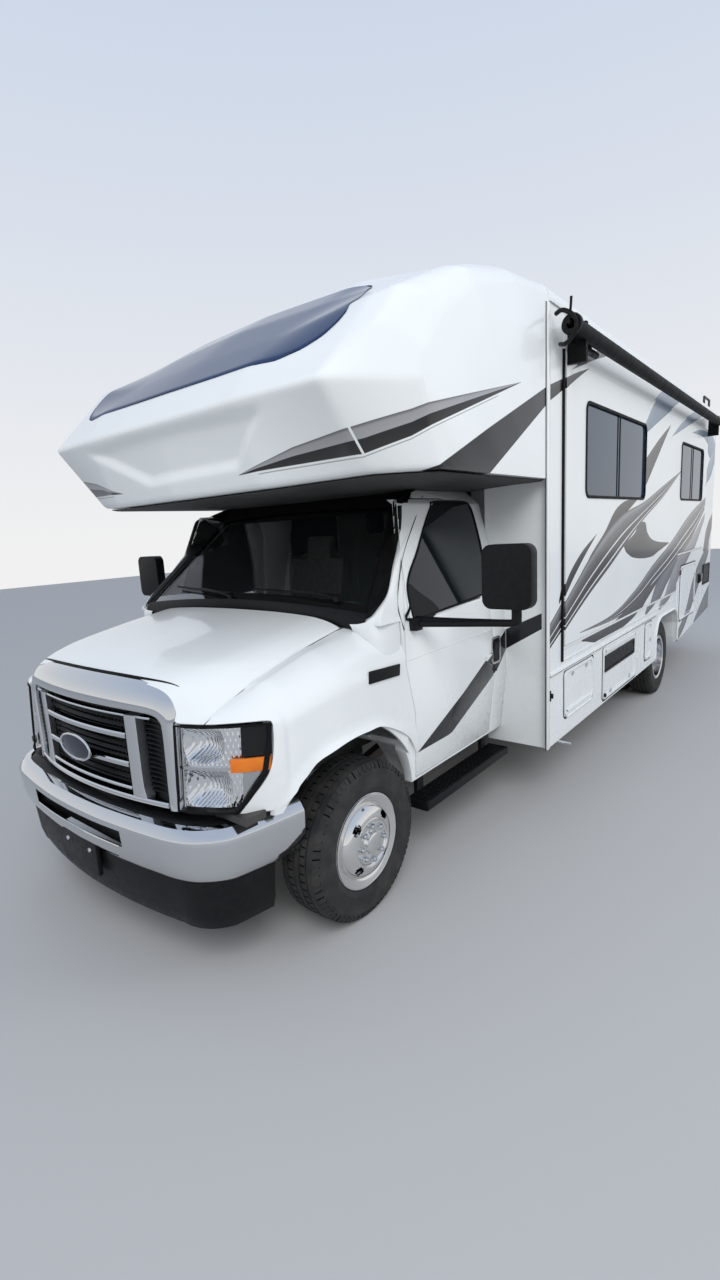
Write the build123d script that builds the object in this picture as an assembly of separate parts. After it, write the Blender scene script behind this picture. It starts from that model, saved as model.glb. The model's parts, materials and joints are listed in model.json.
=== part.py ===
"""Cutaway-van motorhome with an over-cab cap and one large slide-out room.

Millimetres. +Z is up, the front faces -Y and +X is the vehicle's left.
The origin is on the ground, at the middle of the overall length and width.
Stations along the vehicle are distances behind the front axle.
"""
from build123d import *
from math import hypot, sqrt
import os

os.makedirs("parts", exist_ok=True)

# Driving dimensions of the whole vehicle
WHEELBASE = 4470.0
FRONT_OVERHANG = 880.0
REAR_OVERHANG = 2580.0
COACH_HALF = 1270.0
CAB_HALF = 1000.0
MIRROR_REACH = 1550.0

LENGTH = WHEELBASE + FRONT_OVERHANG + REAR_OVERHANG
FRONT_AXLE_Y = FRONT_OVERHANG - LENGTH / 2

# Clearances: round moving panels, between seated pieces, and round shafts
PANEL_GAP = 6.0
SEAT_GAP = 0.3
RUNNING_GAP = 0.3

# Wheels and tyres
TYRE_R = 370.0
TYRE_W = 223.0
TYRE_SEAM_TURN = 11.0
RIM_R = 203.0
RIM_FLANGE_R = 222.0
FRONT_TRACK_HALF = 881.5
REAR_INNER_X = 853.0
REAR_OUTER_X = 1115.0
HUB_Z = TYRE_R
LUG_CIRCLE_R = 82.5
LUG_COUNT = 8
HAND_HOLES = 8

# Steering
STEER_X = 430.0
KINGPIN_X = 755.0
KINGPIN_R = 15.0
SPINDLE_R = 25.0
STEER_ARM = 110.0
STEER_ROOM_R = 480.0

# Coach body
WALL = 40.0
SKIRT_Z = 402.0
REAR_SKIRT_Z = 560.0
EAVE_Z = 2930.0
CROWN_Z = 3070.0
ROOF_FALL = 25.0
ROOF_CORNER = 90.0
ROOF_T = 60.0
DRIP_RAIL = 10.0
COACH_FRONT = 1430.0
TOW_BUMPER = 120.0
COACH_REAR = WHEELBASE + REAR_OVERHANG - TOW_BUMPER
FLOOR_TOP = 980.0
FLOOR_T = 60.0
REAR_ARCH_TOP = 800.0
REAR_ARCH_FOOT = 480.0
REAR_ARCH_AHEAD = 365.0
REAR_ARCH_BEHIND = 576.0
WHEEL_HOUSE_W = 585.0
WHEEL_HOUSE_T = 4.0
WINDOW_CORNER = 60.0
AIR_CON_H = 280.0
LADDER_RAILS = (COACH_HALF - 430, COACH_HALF - 110)
LADDER_R = 13.0

# Slide-out room on the left side
SLIDE_FRONT = 1700.0
SLIDE_STEP = WHEELBASE + 330
SLIDE_REAR = COACH_REAR - 690
SLIDE_LOW_Z = 1045.0
SLIDE_HIGH_Z = 1425.0
SLIDE_TOP_Z = 2680.0
SLIDE_DEPTH = 640.0
SLIDE_GAP = 12.0
SLIDE_WALL = 30.0
FLANGE_LAP = 40.0
FLANGE_T = 18.0
TOPPER_Z = 2800.0
TOPPER_R = 42.0

# Cab
CAB_SILL_Z = 500.0
BELT_Z = 1340.0
CAB_ROOF_Z = 1985.0
SCREEN_LOW = (165.0, 1365.0)
SCREEN_HIGH = (805.0, 1955.0)
SCREEN_HALF = 950.0
SCREEN_BOW = 55.0
SCREEN_CUT_HALF = 1250.0
CAB_SKIN = 45.0
DOOR_FRONT_LOW = 435.0
DOOR_FRONT_BELT = 335.0
DOOR_REAR = 1265.0
DOOR_T = 60.0
DOOR_REAR_GAP = 12.0
DOOR_TOP_GAP = 20.0
MIRROR_HEAD_W = 238.0
GLASS_T = 6.0
CAB_PAN_Z = 745.0
FIREWALL = 168.0
WING_REAR = 331.0

# Nose: grille, lamps, bonnet and bumper
HOOD_HALF = 766.0
HOOD_HINGE = (156.0, 1388.0)
NOSE_HALF = 650.0
NOSE_BOW = 83.0
GRILLE_FRONT = -795.0
GRILLE_BACK = -700.0
GRILLE_LOW = 722.0
GRILLE_OPEN_TOP = 1112.0
GRILLE_ROLL_Z = 1180.0
GRILLE_TOP = 1235.0
GRILLE_BARS = (855, 985)
LEG_HALF = 632.0
LOUVRES = 7
BADGE_Z = 905.0
BADGE_HALF_W = 140.0
BADGE_HALF_H = 62.0
BADGE_FRONT = -812.0
BADGE_BACK = -745.0
BACKING_T = 18.0
LAMP_LOW = 735.0
LAMP_TOP = 1082.0
LAMP_LEAN = 22.0
BUMPER_LOW = 470.0
BUMPER_CREASE = 655.0
BUMPER_TOP = 692.0
BUMPER_SKIN = 14.0
BUMPER_LIP = 70.0
BUMPER_REAR = -340.0
VALANCE_LOW = 245.0

# Chassis
RAIL_X = 430.0
RAIL_W = 60.0
RAIL_LOW = 510.0
RAIL_HIGH = 700.0
RAIL_WEB = 8.0
RAIL_FRONT = -640.0
CROSSMEMBERS = (-540, 1700, 2750, 3800, WHEELBASE + 680, COACH_REAR - 730)
OUTRIGGERS = (1520, 2350, 3600, WHEELBASE + 830, COACH_REAR - 630)
RECEIVER_OUT = 63.5
RECEIVER_IN = 51.0
RECEIVER_Z = 520.0
HITCH_PIN_R = 8.0
HITCH_PIN_SETBACK = 70.0
ENGINE_LOW = 480.0
SPRING_TOP = 740.0
RADIUS_ARM_END = 980.0


def st(station):
    """Y of a station, given as its distance behind the front axle."""
    return FRONT_AXLE_Y + station


def block(x0, x1, s0, s1, z0, z1):
    """A box between two x values, two stations and two heights."""
    size = (abs(x1 - x0), abs(s1 - s0), abs(z1 - z0))
    return Pos((x0 + x1) / 2, st((s0 + s1) / 2), (z0 + z1) / 2) * Box(*size)


class Via(tuple):
    """A point that an outline passes on its arc between the points beside it."""


def traced(points):
    """A face inside corner points, with an arc wherever a point is marked Via."""
    edges = []
    for i, point in enumerate(points):
        after = points[(i + 1) % len(points)]
        if isinstance(point, Via):
            continue
        if isinstance(after, Via):
            end = points[(i + 2) % len(points)]
            edges.append(ThreePointArc(tuple(point), tuple(after), tuple(end)))
        else:
            edges.append(Line(tuple(point), tuple(after)))
    return make_face(edges)


def placed(points, rule):
    """The points with each pair passed through a rule, arcs kept."""
    return [type(p)(rule(*p)) for p in points]


def both_halves(half):
    """A symmetric outline from its right half, which runs from the low edge to the middle."""
    left = [type(p)((-p[0], p[1])) for p in half]
    return left + [p for p in reversed(half) if p[0] != 0]


def side_face(points):
    """A face from (station, height) points, drawn in the YZ plane."""
    return traced(placed(points, lambda s, z: (st(s), z)))


def from_side(points, x0, x1):
    """A (station, height) polygon, or a ready face, extruded from x0 to x1."""
    face = side_face(points) if isinstance(points, list) else points
    return extrude(Plane.YZ.offset(x0) * face, x1 - x0)


def from_front(points, s0, s1):
    """An (x, height) outline extruded from one station to another."""
    return extrude(Plane.XZ.offset(-st(s0)) * traced(points), s0 - s1)


def plan_face(points, z):
    """A face from (x, station) points at a height."""
    return Plane.XY.offset(z) * traced(placed(points, lambda x, s: (x, st(s))))


def from_top(points, z0, z1):
    """An (x, station) outline extruded from one height to another."""
    return extrude(plan_face(points, z0), z1 - z0)


def stacked(rows):
    """A ruled loft through (height, outline from above) rows."""
    return loft([plan_face(points, z) for z, points in rows], ruled=True)


def lofted(sections):
    """A ruled loft through (station, outline from the front) rows."""
    return loft([Plane.XZ.offset(-st(station)) * traced(points) for station, points in sections], ruled=True)


def rounded(s0, s1, z0, z1, radius):
    """A rounded rectangle of stations and heights, as a face for from_side."""
    plate = RectangleRounded(s1 - s0, z1 - z0, radius)
    return Pos(st((s0 + s1) / 2), (z0 + z1) / 2) * plate


def rod(x0, x1, station, z, radius):
    """A cylinder along X."""
    return Plane.YZ.offset(x0) * Pos(st(station), z) * extrude(Circle(radius), x1 - x0)


def post(x, station, z0, z1, radius):
    """A cylinder along Z."""
    return Pos(x, st(station), z0) * extrude(Circle(radius), z1 - z0)


def shaft(s0, s1, x, z, radius):
    """A cylinder along Y."""
    return Plane.XZ.offset(-st(s0)) * Pos(x, z) * extrude(Circle(radius), s0 - s1)


def strut(start, end, radius):
    """A round bar between two (x, station, z) points."""
    a = Vector(start[0], st(start[1]), start[2])
    b = Vector(end[0], st(end[1]), end[2])
    return Plane(origin=a, z_dir=b - a) * extrude(Circle(radius), (b - a).length)


def bent_bar(points, radius):
    """A round bar through (x, station, z) points, with a ball at each bend."""
    bar = strut(points[0], points[1], radius)
    for start, end in zip(points[1:], points[2:]):
        bar += Pos(start[0], st(start[1]), start[2]) * Sphere(radius)
        bar += strut(start, end, radius)
    return bar


def mirrored(shape):
    """The same shape on the other side of the vehicle."""
    return mirror(shape, about=Plane.YZ)


def both(shape):
    return [shape, mirrored(shape)]


def dish(points):
    """A solid of revolution about X from (x, radius) points."""
    return revolve(make_face(Polyline(*points, close=True)), Axis.X, 360)


def pattern(count, radius, make, start=0.0):
    """Copies of a shape made at (radius, 0), turned about the X axis."""
    return [Rot(start + 360 * i / count, 0, 0) * make(radius) for i in range(count)]


def frame_rails():
    """Two channel rails with what is welded to them."""
    rails = []
    rear = COACH_REAR - 40
    inner = RAIL_X - RAIL_W
    for side in (-1, 1):
        rail = block(side * RAIL_X, side * inner, RAIL_FRONT, rear, RAIL_LOW, RAIL_HIGH)
        rail -= block(side * (RAIL_X - RAIL_WEB), side * inner, RAIL_FRONT, rear,
                      RAIL_LOW + RAIL_WEB, RAIL_HIGH - RAIL_WEB)
        # Front support for the grille and lamps
        rail += block(side * inner, side * RAIL_X, GRILLE_BACK + BACKING_T + SEAT_GAP, RAIL_FRONT + 40,
                      RAIL_HIGH - RAIL_WEB, GRILLE_OPEN_TOP - 37)
        rail += block(side * inner, side * 925, RAIL_FRONT, RAIL_FRONT + 100, LAMP_LOW - 30,
                      LAMP_LOW - SEAT_GAP)
        # Spring towers, radius-arm brackets and the cab's body mounts
        rail += block(side * (inner + 2), side * (RAIL_X - 2), -60, 60, RAIL_HIGH - RAIL_WEB, SPRING_TOP + 35)
        rail += block(side * (inner + 2), side * 600, -60, 60, SPRING_TOP + 20 + SEAT_GAP, SPRING_TOP + 35)
        rail += block(side * (RAIL_X - 4), side * 530, RADIUS_ARM_END + SEAT_GAP, RADIUS_ARM_END + 30,
                      505, 600)
        for station in (480, 1150):
            rail += block(side * inner, side * RAIL_X, station, station + 80,
                          RAIL_HIGH - RAIL_WEB, CAB_PAN_Z - 40 - SEAT_GAP)
        rails.append(rail)
    return rails


def frame_crossmembers():
    """Bars between the rails, and the bumper tube behind them."""
    reach = RAIL_X - RAIL_WEB - SEAT_GAP
    bars = [block(-reach, reach, station - 35, station + 35, RAIL_HIGH - 90, RAIL_HIGH - 10)
            for station in CROSSMEMBERS]
    # Dropped crossmembers under the engine and the gearbox
    for station in (-170, 620):
        bar = block(-RAIL_X, RAIL_X, station - 40, station + 40, ENGINE_LOW - 40, ENGINE_LOW - SEAT_GAP)
        for side in (-1, 1):
            bar += block(side * (RAIL_X - RAIL_W + 8), side * RAIL_X, station - 40, station + 40,
                         ENGINE_LOW - 30, RAIL_LOW - SEAT_GAP)
        bars.append(bar)
    tube = block(-1150, 1150, COACH_REAR + 10, COACH_REAR + 110, 590, 690)
    for side in (-1, 1):
        tube += block(side * (RAIL_X - RAIL_W + 6), side * reach, COACH_REAR - 200, COACH_REAR + 12, 610, 680)
    return bars + [tube]


def frame_outriggers():
    """Tapered brackets that carry the coach floor beside the rails."""
    brackets = []
    for station in OUTRIGGERS:
        for side in (-1, 1):
            inner, outer = side * (RAIL_X + SEAT_GAP), side * 1180
            brackets.append(from_front([(inner, RAIL_LOW + 40), (outer, FLOOR_TOP - FLOOR_T - 70),
                                        (outer, FLOOR_TOP - FLOOR_T), (inner, FLOOR_TOP - FLOOR_T)],
                                       station - 20, station + 20))
    return brackets


def hitch_receiver():
    mouth = COACH_REAR + 90
    half = RECEIVER_OUT / 2
    tube = block(-half, half, mouth - 330, mouth, RECEIVER_Z - half, RECEIVER_Z + half)
    inner = RECEIVER_IN / 2
    tube -= block(-inner, inner, mouth - 331, mouth + 1, RECEIVER_Z - inner, RECEIVER_Z + inner)
    tube -= rod(-half - 5, half + 5, mouth - HITCH_PIN_SETBACK, RECEIVER_Z, HITCH_PIN_R)
    reach = RAIL_X - 8 - SEAT_GAP
    tube += block(-reach, reach, mouth - 300, mouth - 236, RECEIVER_Z + half - 2, RECEIVER_Z + half + 56)
    return tube


def engine_block():
    return block(-290, 290, -480, 150, ENGINE_LOW, 1090)


def driveline():
    gearbox = block(-160, 160, 150 + SEAT_GAP, 1050, ENGINE_LOW, RAIL_HIGH - 15)
    prop = strut((0, 1040, 560), (0, WHEELBASE - 182, HUB_Z + 10), 40)
    tank = block(-1000, -RAIL_X - SEAT_GAP, 2400, 3500, 430, 690)
    muffler = block(-360, -120, 2300, 2950, 330, 480)
    pipe = bent_bar([(-240, 1060, 440), (-240, 1700, 400), (-240, 2310, 400)], 30)
    for station, low in ((CROSSMEMBERS[2], 475), (CROSSMEMBERS[5], 440)):
        muffler += block(-250, -230, station - 15, station + 15, low, RAIL_HIGH - 90 - SEAT_GAP)
    # The tail pipe rises over the rear axle
    tail = bent_bar([(-240, 2940, 400), (-240, WHEELBASE - 420, 400), (-240, WHEELBASE - 250, 585),
                     (-240, WHEELBASE + 270, 585), (-240, WHEELBASE + 450, 420),
                     (-240, COACH_REAR - 130, 420)], 30)
    return [gearbox + prop, tank, muffler + pipe + tail]


def front_axle():
    beam = block(-KINGPIN_X + 20, KINGPIN_X - 20, -35, 35, HUB_Z - 70, HUB_Z + 10)
    for side in (-1, 1):
        beam += post(side * KINGPIN_X, 0, HUB_Z - 75, HUB_Z + 75, 34)
    for side in (-1, 1):
        beam -= post(side * KINGPIN_X, 0, HUB_Z - 80, HUB_Z + 80, KINGPIN_R + RUNNING_GAP)
        spring = post(side * 520, 0, HUB_Z + 5, SPRING_TOP + 5, 62)
        spring -= post(side * 520, 0, HUB_Z + 20, SPRING_TOP - 10, 45)
        beam += spring
        beam += block(side * (RAIL_X + 20), side * 590, -60, 60, SPRING_TOP, SPRING_TOP + 20)
        beam += from_side([(-30, HUB_Z - 60), (30, HUB_Z - 60), (RADIUS_ARM_END, 505), (RADIUS_ARM_END, 560),
                           (20, HUB_Z - 5)], side * 500 - 25, side * 500 + 25)
    return beam


def knuckle(side):
    """A steering knuckle: yoke round the axle's boss, kingpin and spindle."""
    top, low = HUB_Z + 78, HUB_Z - 78
    body = block(side * (KINGPIN_X - 30), side * (KINGPIN_X + 62), -32, 32, top, top + 28)
    body += block(side * (KINGPIN_X - 30), side * (KINGPIN_X + 62), -32, 32, low - 28, low)
    body += block(side * (KINGPIN_X + 40), side * (KINGPIN_X + 62), -45, 45, low - 28, top + 28)
    body += post(side * KINGPIN_X, 0, low - 5, top + 5, KINGPIN_R)
    body += rod(side * (KINGPIN_X + 50), side * (FRONT_TRACK_HALF + 75), 0, HUB_Z, SPINDLE_R)
    body += block(side * (KINGPIN_X - 30), side * (KINGPIN_X + 20), 30, STEER_ARM + 30,
                  low - 28, low - 4)
    return body


def tyre(x_mid, station):
    """A tyre as one turned ring, its section a rounded rectangle."""
    # Section: share of the width, radius
    half = [(0.38, RIM_R), (0.38, RIM_FLANGE_R + 3), (0.50, RIM_FLANGE_R + 45), (0.48, TYRE_R - 45),
            (0.36, TYRE_R - 8), (0.18, TYRE_R)]
    outline = [(TYRE_W * share, r) for share, r in half]
    outline += [(-x, r) for x, r in reversed(outline)]
    return Pos(x_mid, st(station), HUB_Z) * (Rot(TYRE_SEAM_TURN, 0, 0) * dish(outline))


def rim_ring():
    """The rim barrel and flanges, turned about X, centred on the tyre."""
    half = 0.40 * TYRE_W
    outline = [(-half - 8, RIM_FLANGE_R), (-half, RIM_FLANGE_R), (-half, RIM_R - 0.2),
               (half, RIM_R - 0.2), (half, RIM_FLANGE_R), (half + 8, RIM_FLANGE_R),
               (half + 8, RIM_R - 14), (-half - 8, RIM_R - 14)]
    return revolve(make_face(Polyline(*outline, close=True)), Axis.X, 360)


def front_wheel(side):
    """Rim, dished disc with hand holes, hub and lug nuts, seen from outside."""
    wheel = rim_ring()
    disc = dish([(-6, RIM_R - 10), (6, RIM_R - 10), (62, 165), (74, 120), (74, SPINDLE_R + RUNNING_GAP),
                 (58, SPINDLE_R + RUNNING_GAP), (58, 112), (48, 158)])
    wheel += disc
    hub = dish([(-10, SPINDLE_R + RUNNING_GAP), (-10, 62), (76, 62), (96, 52), (104, 40),
                (104, 0), (80, 0), (80, SPINDLE_R + RUNNING_GAP)])
    wheel += hub
    for hole in pattern(HAND_HOLES, 145, lambda r: Pos(20, 0, r) * (Rot(0, 90, 0) * Cylinder(17, 90))):
        wheel -= hole
    lug = Rot(0, 90, 0) * Cylinder(13, 34)
    for nut in pattern(LUG_COUNT, LUG_CIRCLE_R, lambda r: Pos(88, 0, r) * lug, 22.5):
        wheel += nut
    if side < 0:
        wheel = mirror(wheel, about=Plane.YZ)
    return Pos(side * FRONT_TRACK_HALF, st(0), HUB_Z) * wheel


def rear_wheels(side):
    """Two rims on one hub, the outer disc dished inwards."""
    offset = (REAR_OUTER_X - REAR_INNER_X) / 2
    wheel = Pos(-offset, 0, 0) * rim_ring() + Pos(offset, 0, 0) * rim_ring()
    bore = 40.0 + RUNNING_GAP
    wheel += dish([(offset - 12, RIM_R - 10), (offset + 4, RIM_R - 10), (22, 150), (14, 120),
                   (14, bore), (0, bore), (0, 120), (6, 152)])
    wheel += dish([(-offset + 12, RIM_R - 10), (-offset - 4, RIM_R - 10), (-22, 150), (-14, 120),
                   (-14, bore), (0, bore), (0, 120), (-6, 152)])
    wheel += dish([(-20, bore), (-20, 70), (70, 70), (92, 58), (92, 0), (80, 0), (80, bore)])
    for hole in pattern(HAND_HOLES, 145, lambda r: Pos(60, 0, r) * (Rot(0, 90, 0) * Cylinder(17, 150))):
        wheel -= hole
    lug = Rot(0, 90, 0) * Cylinder(13, 34)
    for nut in pattern(LUG_COUNT, LUG_CIRCLE_R + 8, lambda r: Pos(28, 0, r) * lug, 22.5):
        wheel += nut
    if side < 0:
        wheel = mirror(wheel, about=Plane.YZ)
    mid = (REAR_OUTER_X + REAR_INNER_X) / 2
    return Pos(side * mid, st(WHEELBASE), HUB_Z) * wheel


def rear_axle():
    mid = (REAR_OUTER_X + REAR_INNER_X) / 2
    end, shoulder = mid + 60, mid - 155
    half = [(end, 0), (end, 40), (shoulder, 40), (shoulder, 52), (200, 52), (130, 110), (70, 160), (0, 172)]
    outline = half + [(-x, r) for x, r in half[-2::-1]]
    tube = Pos(0, st(WHEELBASE), HUB_Z) * dish(outline)
    # Leaf springs over the axle, hung from the rails
    for side in (-1, 1):
        x0, x1 = side * (RAIL_X + 20), side * (RAIL_X + 95)
        leaf = [(WHEELBASE - 760, RAIL_LOW + 20), (WHEELBASE - 120, HUB_Z + 55),
                (WHEELBASE + 120, HUB_Z + 55), (WHEELBASE + 760, RAIL_LOW + 20),
                (WHEELBASE + 760, RAIL_LOW + 50), (WHEELBASE + 120, HUB_Z + 110),
                (WHEELBASE - 120, HUB_Z + 110), (WHEELBASE - 760, RAIL_LOW + 50)]
        tube += from_side(leaf, x0, x1)
        tube += block(x0, x1, WHEELBASE - 60, WHEELBASE + 60, HUB_Z + 20, HUB_Z + 60)
        for station in (WHEELBASE - 740, WHEELBASE + 740):
            tube += block(side * (RAIL_X + RUNNING_GAP), x1, station - 30, station + 30,
                          RAIL_LOW + 20, RAIL_HIGH - 30)
    return tube


def cab_outline(inset):
    """The cab's section from the front, from the sills to the roof."""
    half = [(960 - inset, CAB_SILL_Z), (CAB_HALF - inset, 860), (CAB_HALF - inset, 1150),
            (985 - inset, BELT_Z),
            (830 - inset, 1900), (740 - inset, CAB_ROOF_Z - inset)]
    return both_halves(half)


def screen_cut(lift):
    """Everything ahead of and above the bowed windscreen, lifted off it by a distance."""
    (s0, z0), (s1, z1) = SCREEN_LOW, SCREEN_HIGH
    slope = Plane(origin=(0, st(s0), z0), x_dir=(1, 0, 0), z_dir=(0, s1 - s0, z1 - z0))
    length = hypot(s1 - s0, z1 - z0)
    edge = SCREEN_BOW * ((SCREEN_CUT_HALF / SCREEN_HALF) ** 2 - 1)
    ahead = traced([(-SCREEN_CUT_HALF, -1500), (-SCREEN_CUT_HALF, edge - lift), Via((0, -SCREEN_BOW - lift)),
                    (SCREEN_CUT_HALF, edge - lift), (SCREEN_CUT_HALF, -1500)])
    return extrude(slope.offset(-0.5 * length) * ahead, 2.5 * length)


def screen_opening(gap):
    """The windscreen's opening from the front, its lower edge arched over the cowl."""
    return [(-905 + gap, 1385 + gap), (-722 + gap, 1925 - gap), (722 - gap, 1925 - gap),
            (905 - gap, 1385 + gap),
            Via((0, 1432 + gap))]


def door_window(inset):
    """The door's glass opening, grown by the inset."""
    glass = [(430, 1338), Via((500, 1620)), (598, 1889), (965, 1893), Via((1072, 1625)), (1145, 1356)]
    mid_s, mid_z = 790.0, 1610.0

    def grown(s, z):
        length = hypot(s - mid_s, z - mid_z)
        return s + (s - mid_s) / length * inset, z + (z - mid_z) / length * inset

    return placed(glass, grown)


def door_outline(gap):
    """The door's edge, drawn in by the gap."""
    rear = DOOR_REAR_GAP * gap / PANEL_GAP
    top = DOOR_TOP_GAP * gap / PANEL_GAP
    return [(DOOR_FRONT_LOW + gap, CAB_SILL_Z + 10 + gap), (395 + gap, 890), (DOOR_FRONT_BELT + gap, 1140),
            (DOOR_FRONT_BELT + 20 + gap, 1290), (560 + gap, 1930 - gap), (1050 - top, 1935 - gap),
            (1150 - top, 1800), (1235 - rear, 1340), (DOOR_REAR - rear, 1100),
            (DOOR_REAR - rear, CAB_SILL_Z + 10 + gap)]


def front_arch(grow):
    """The front wheel opening, closed below."""
    return [(-470 - grow, 300), (-470 - grow, 700), Via((-200, 893 + grow)), (105, 896 + grow),
            Via((270 + grow, 770 + grow)), (400 + grow, 520), (405 + grow, 300)]


def cab_shell():
    """Cab floor, firewall, sills, pillars and roof, open to the coach behind."""
    shell = from_front(cab_outline(0), FIREWALL, COACH_FRONT - SEAT_GAP)
    shell -= screen_cut(0)
    hollow = from_front(cab_outline(CAB_SKIN), FIREWALL + CAB_SKIN, COACH_FRONT + 20)
    hollow -= screen_cut(-CAB_SKIN)
    hollow -= block(-1200, 1200, 0, 1600, 300, CAB_PAN_Z)
    shell -= hollow
    # The floor pan sits over the rails, between the sills
    shell -= block(-780, 780, 100, 1500, 400, CAB_PAN_Z - 40)
    for side in (-1, 1):
        shell -= from_side(door_outline(0), side * (CAB_HALF - DOOR_T - 45), side * 1300)
        under_pan = block(-1300, 1300, 0, 1500, 300, CAB_PAN_Z)
        shell -= from_side(door_outline(0), side * 600, side * 1300) - under_pan
        # Room for the front wing and for the wheel as it steers
        shell -= block(side * (HOOD_HALF - 1), side * 1300, 100, WING_REAR, 300, BELT_Z + 4)
        shell -= rod(side * 545, side * 915, 0, HUB_Z, STEER_ROOM_R)
        shell -= from_side(front_arch(0), side * 914, side * 1300)
    opening = from_front(screen_opening(0), -200, 900)
    return shell - (opening & (screen_cut(-CAB_SKIN - 8) - screen_cut(30)))


def windscreen():
    pane = from_front(screen_opening(SEAT_GAP), -200, 900)
    return pane & (screen_cut(-14) - screen_cut(-14 + GLASS_T))


def cab_door(side):
    thin = DOOR_T / 2
    core = from_front(cab_outline(DOOR_T), 290, 1310) - block(-1200, 1200, 0, 1500, BELT_Z, 2200)
    core += from_front(cab_outline(thin), 290, 1310) & block(-1200, 1200, 290, 1310, BELT_Z, 2200)
    skin = from_front(cab_outline(0), 300, 1300) - core
    door = skin & from_side(door_outline(PANEL_GAP), side * 600, side * 1100)
    door -= from_side(door_window(0), side * 600, side * 1100)
    door += block(side * 985, side * 1014, 1150, 1235, 985, 1015)
    # Hinge leaves that meet the pillar
    for z, edge in ((700, 416.3), (1090, 349.9)):
        door += block(side * 945, side * 975, edge + SEAT_GAP, edge + 12, z - 12, z + 12)
    return door


def cab_door_glass(side):
    band = from_front(cab_outline(22), 300, 1300) - from_front(cab_outline(22 + GLASS_T), 290, 1310)
    return band & from_side(door_window(-1), side * 600, side * 1100)


def door_mirror(side):
    """A tall mirror head on a low arm from the front corner of the door's glass."""
    inner = MIRROR_REACH - MIRROR_HEAD_W
    stem = MIRROR_REACH - 90
    head = block(side * inner, side * MIRROR_REACH, 520, 585, 1390, 1682)
    head = fillet(head.edges().filter_by(Axis.Y), 45)
    arm = bent_bar([(side * 985, 425, 1316), (side * stem, 548, 1325), (side * stem, 548, 1400)], 15)
    foot = block(side * 900, side * (CAB_HALF + 28), 395, 452, 1288, 1346)
    return head + (arm + foot - from_front(cab_outline(-SEAT_GAP), 300, 1300))


# Bonnet: station, half-width, edge height, shoulder's inset and height, crown height
HOOD_ROWS = [
    (GRILLE_BACK + PANEL_GAP, NOSE_HALF, 1110, 60, 1195, 1222),
    (-600, HOOD_HALF - 31, 1124, 90, 1220, 1262),
    (-420, HOOD_HALF - 4, 1205, 110, 1270, 1305),
    (-150, HOOD_HALF, 1285, 120, 1325, 1350),
    (150, HOOD_HALF, 1345, 120, 1370, 1395),
]
HOOD_SKIN = 20.0


def hood_form(drop):
    """The bonnet's crowned form, open-ended below, lowered by a distance."""
    return lofted([(s, both_halves([(half, 900 - drop), (half, edge - drop), (half - inset, shoulder - drop),
                                    Via((0, crown - drop))]))
                   for s, half, edge, inset, shoulder, crown in HOOD_ROWS])


def hood():
    """The bonnet: a crowned shell that narrows to the nose."""
    panel = hood_form(0) - hood_form(HOOD_SKIN)
    # The front edge stays inside its own swing, clear of the grille's header
    swing = hypot(HOOD_HINGE[0] - GRILLE_BACK, HOOD_HINGE[1] - GRILLE_TOP) - PANEL_GAP
    half = NOSE_HALF + 10
    panel -= block(-half, half, -800, -400, 880, 1300) - rod(-half - 1, half + 1, *HOOD_HINGE, swing)
    # Gooseneck hinge arms reach down to the firewall
    for side in (-1, 1):
        panel += block(side * 560, side * 600, 100, FIREWALL - SEAT_GAP, 1270, 1354)
    return panel


# Front wings: station, inner edge, top, outer face and the height of its shoulder
FENDER_ROWS = [
    (-560, HOOD_HALF - 17, 1125, 915, 1010),
    (-420, HOOD_HALF + 2, 1200, 965, 1060),
    (-150, HOOD_HALF + PANEL_GAP, 1275, 990, 1110),
    (WING_REAR - SEAT_GAP, HOOD_HALF + PANEL_GAP, 1345, CAB_HALF, 1150),
]
FENDER_SKIN = 18.0


def fender_form(skin):
    """One front wing's form from the bonnet seam outwards, drawn in by the skin."""
    def section(inner, top, outer, shoulder):
        face, high, line = outer - skin, top - skin, shoulder - skin
        bulge = Via((inner + 0.69 * (face - inner), high - 0.28 * (high - line)))
        return [(inner, 480 - skin * 2), (inner, high), bulge, (face, line), (face, 480 - skin * 2)]

    return lofted([(s, section(*row)) for s, *row in FENDER_ROWS])


def fenders():
    """Front wings: hollow panels from the bonnet seam to the wheel arch."""
    wing = fender_form(0) - fender_form(FENDER_SKIN)
    wing -= from_side(front_arch(0), 500, 1200)
    wing -= block(500, 1200, -600, -380, 300, BUMPER_TOP + 5)
    wing -= lamp_form(5, LAMP_LOW - 45, LAMP_TOP + PANEL_GAP)
    return both(wing)


def nose_y(x):
    """Station of the grille's front at a distance from the middle: it is bowed in plan."""
    return GRILLE_FRONT + NOSE_BOW * (x / NOSE_HALF) ** 2


def nose_bar(half, recess, z0, z1):
    """A bar across the grille that follows its bow, set back by the recess."""
    front = nose_y(half) + recess
    return from_top([(-half, GRILLE_BACK), (-half, front), Via((0, GRILLE_FRONT + recess)), (half, front),
                     (half, GRILLE_BACK)], z0, z1)


def grille_header():
    """The rolled chrome header over the grille, lofted across its bow."""
    faces = []
    for share in (-1, -0.75, -0.4, 0, 0.4, 0.75, 1):
        x = share * NOSE_HALF
        front, top = nose_y(x), GRILLE_TOP - 15 * share * share
        depth, rise = GRILLE_BACK - front, top - GRILLE_ROLL_Z
        roll = Via((front + 0.28 * depth, GRILLE_ROLL_Z + 0.72 * rise))
        section = [(front, GRILLE_OPEN_TOP), (front, GRILLE_ROLL_Z), roll, (GRILLE_BACK, top),
                   (GRILLE_BACK, GRILLE_OPEN_TOP)]
        faces.append(Plane.YZ.offset(x) * side_face(section))
    return loft(faces, ruled=True)


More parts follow.
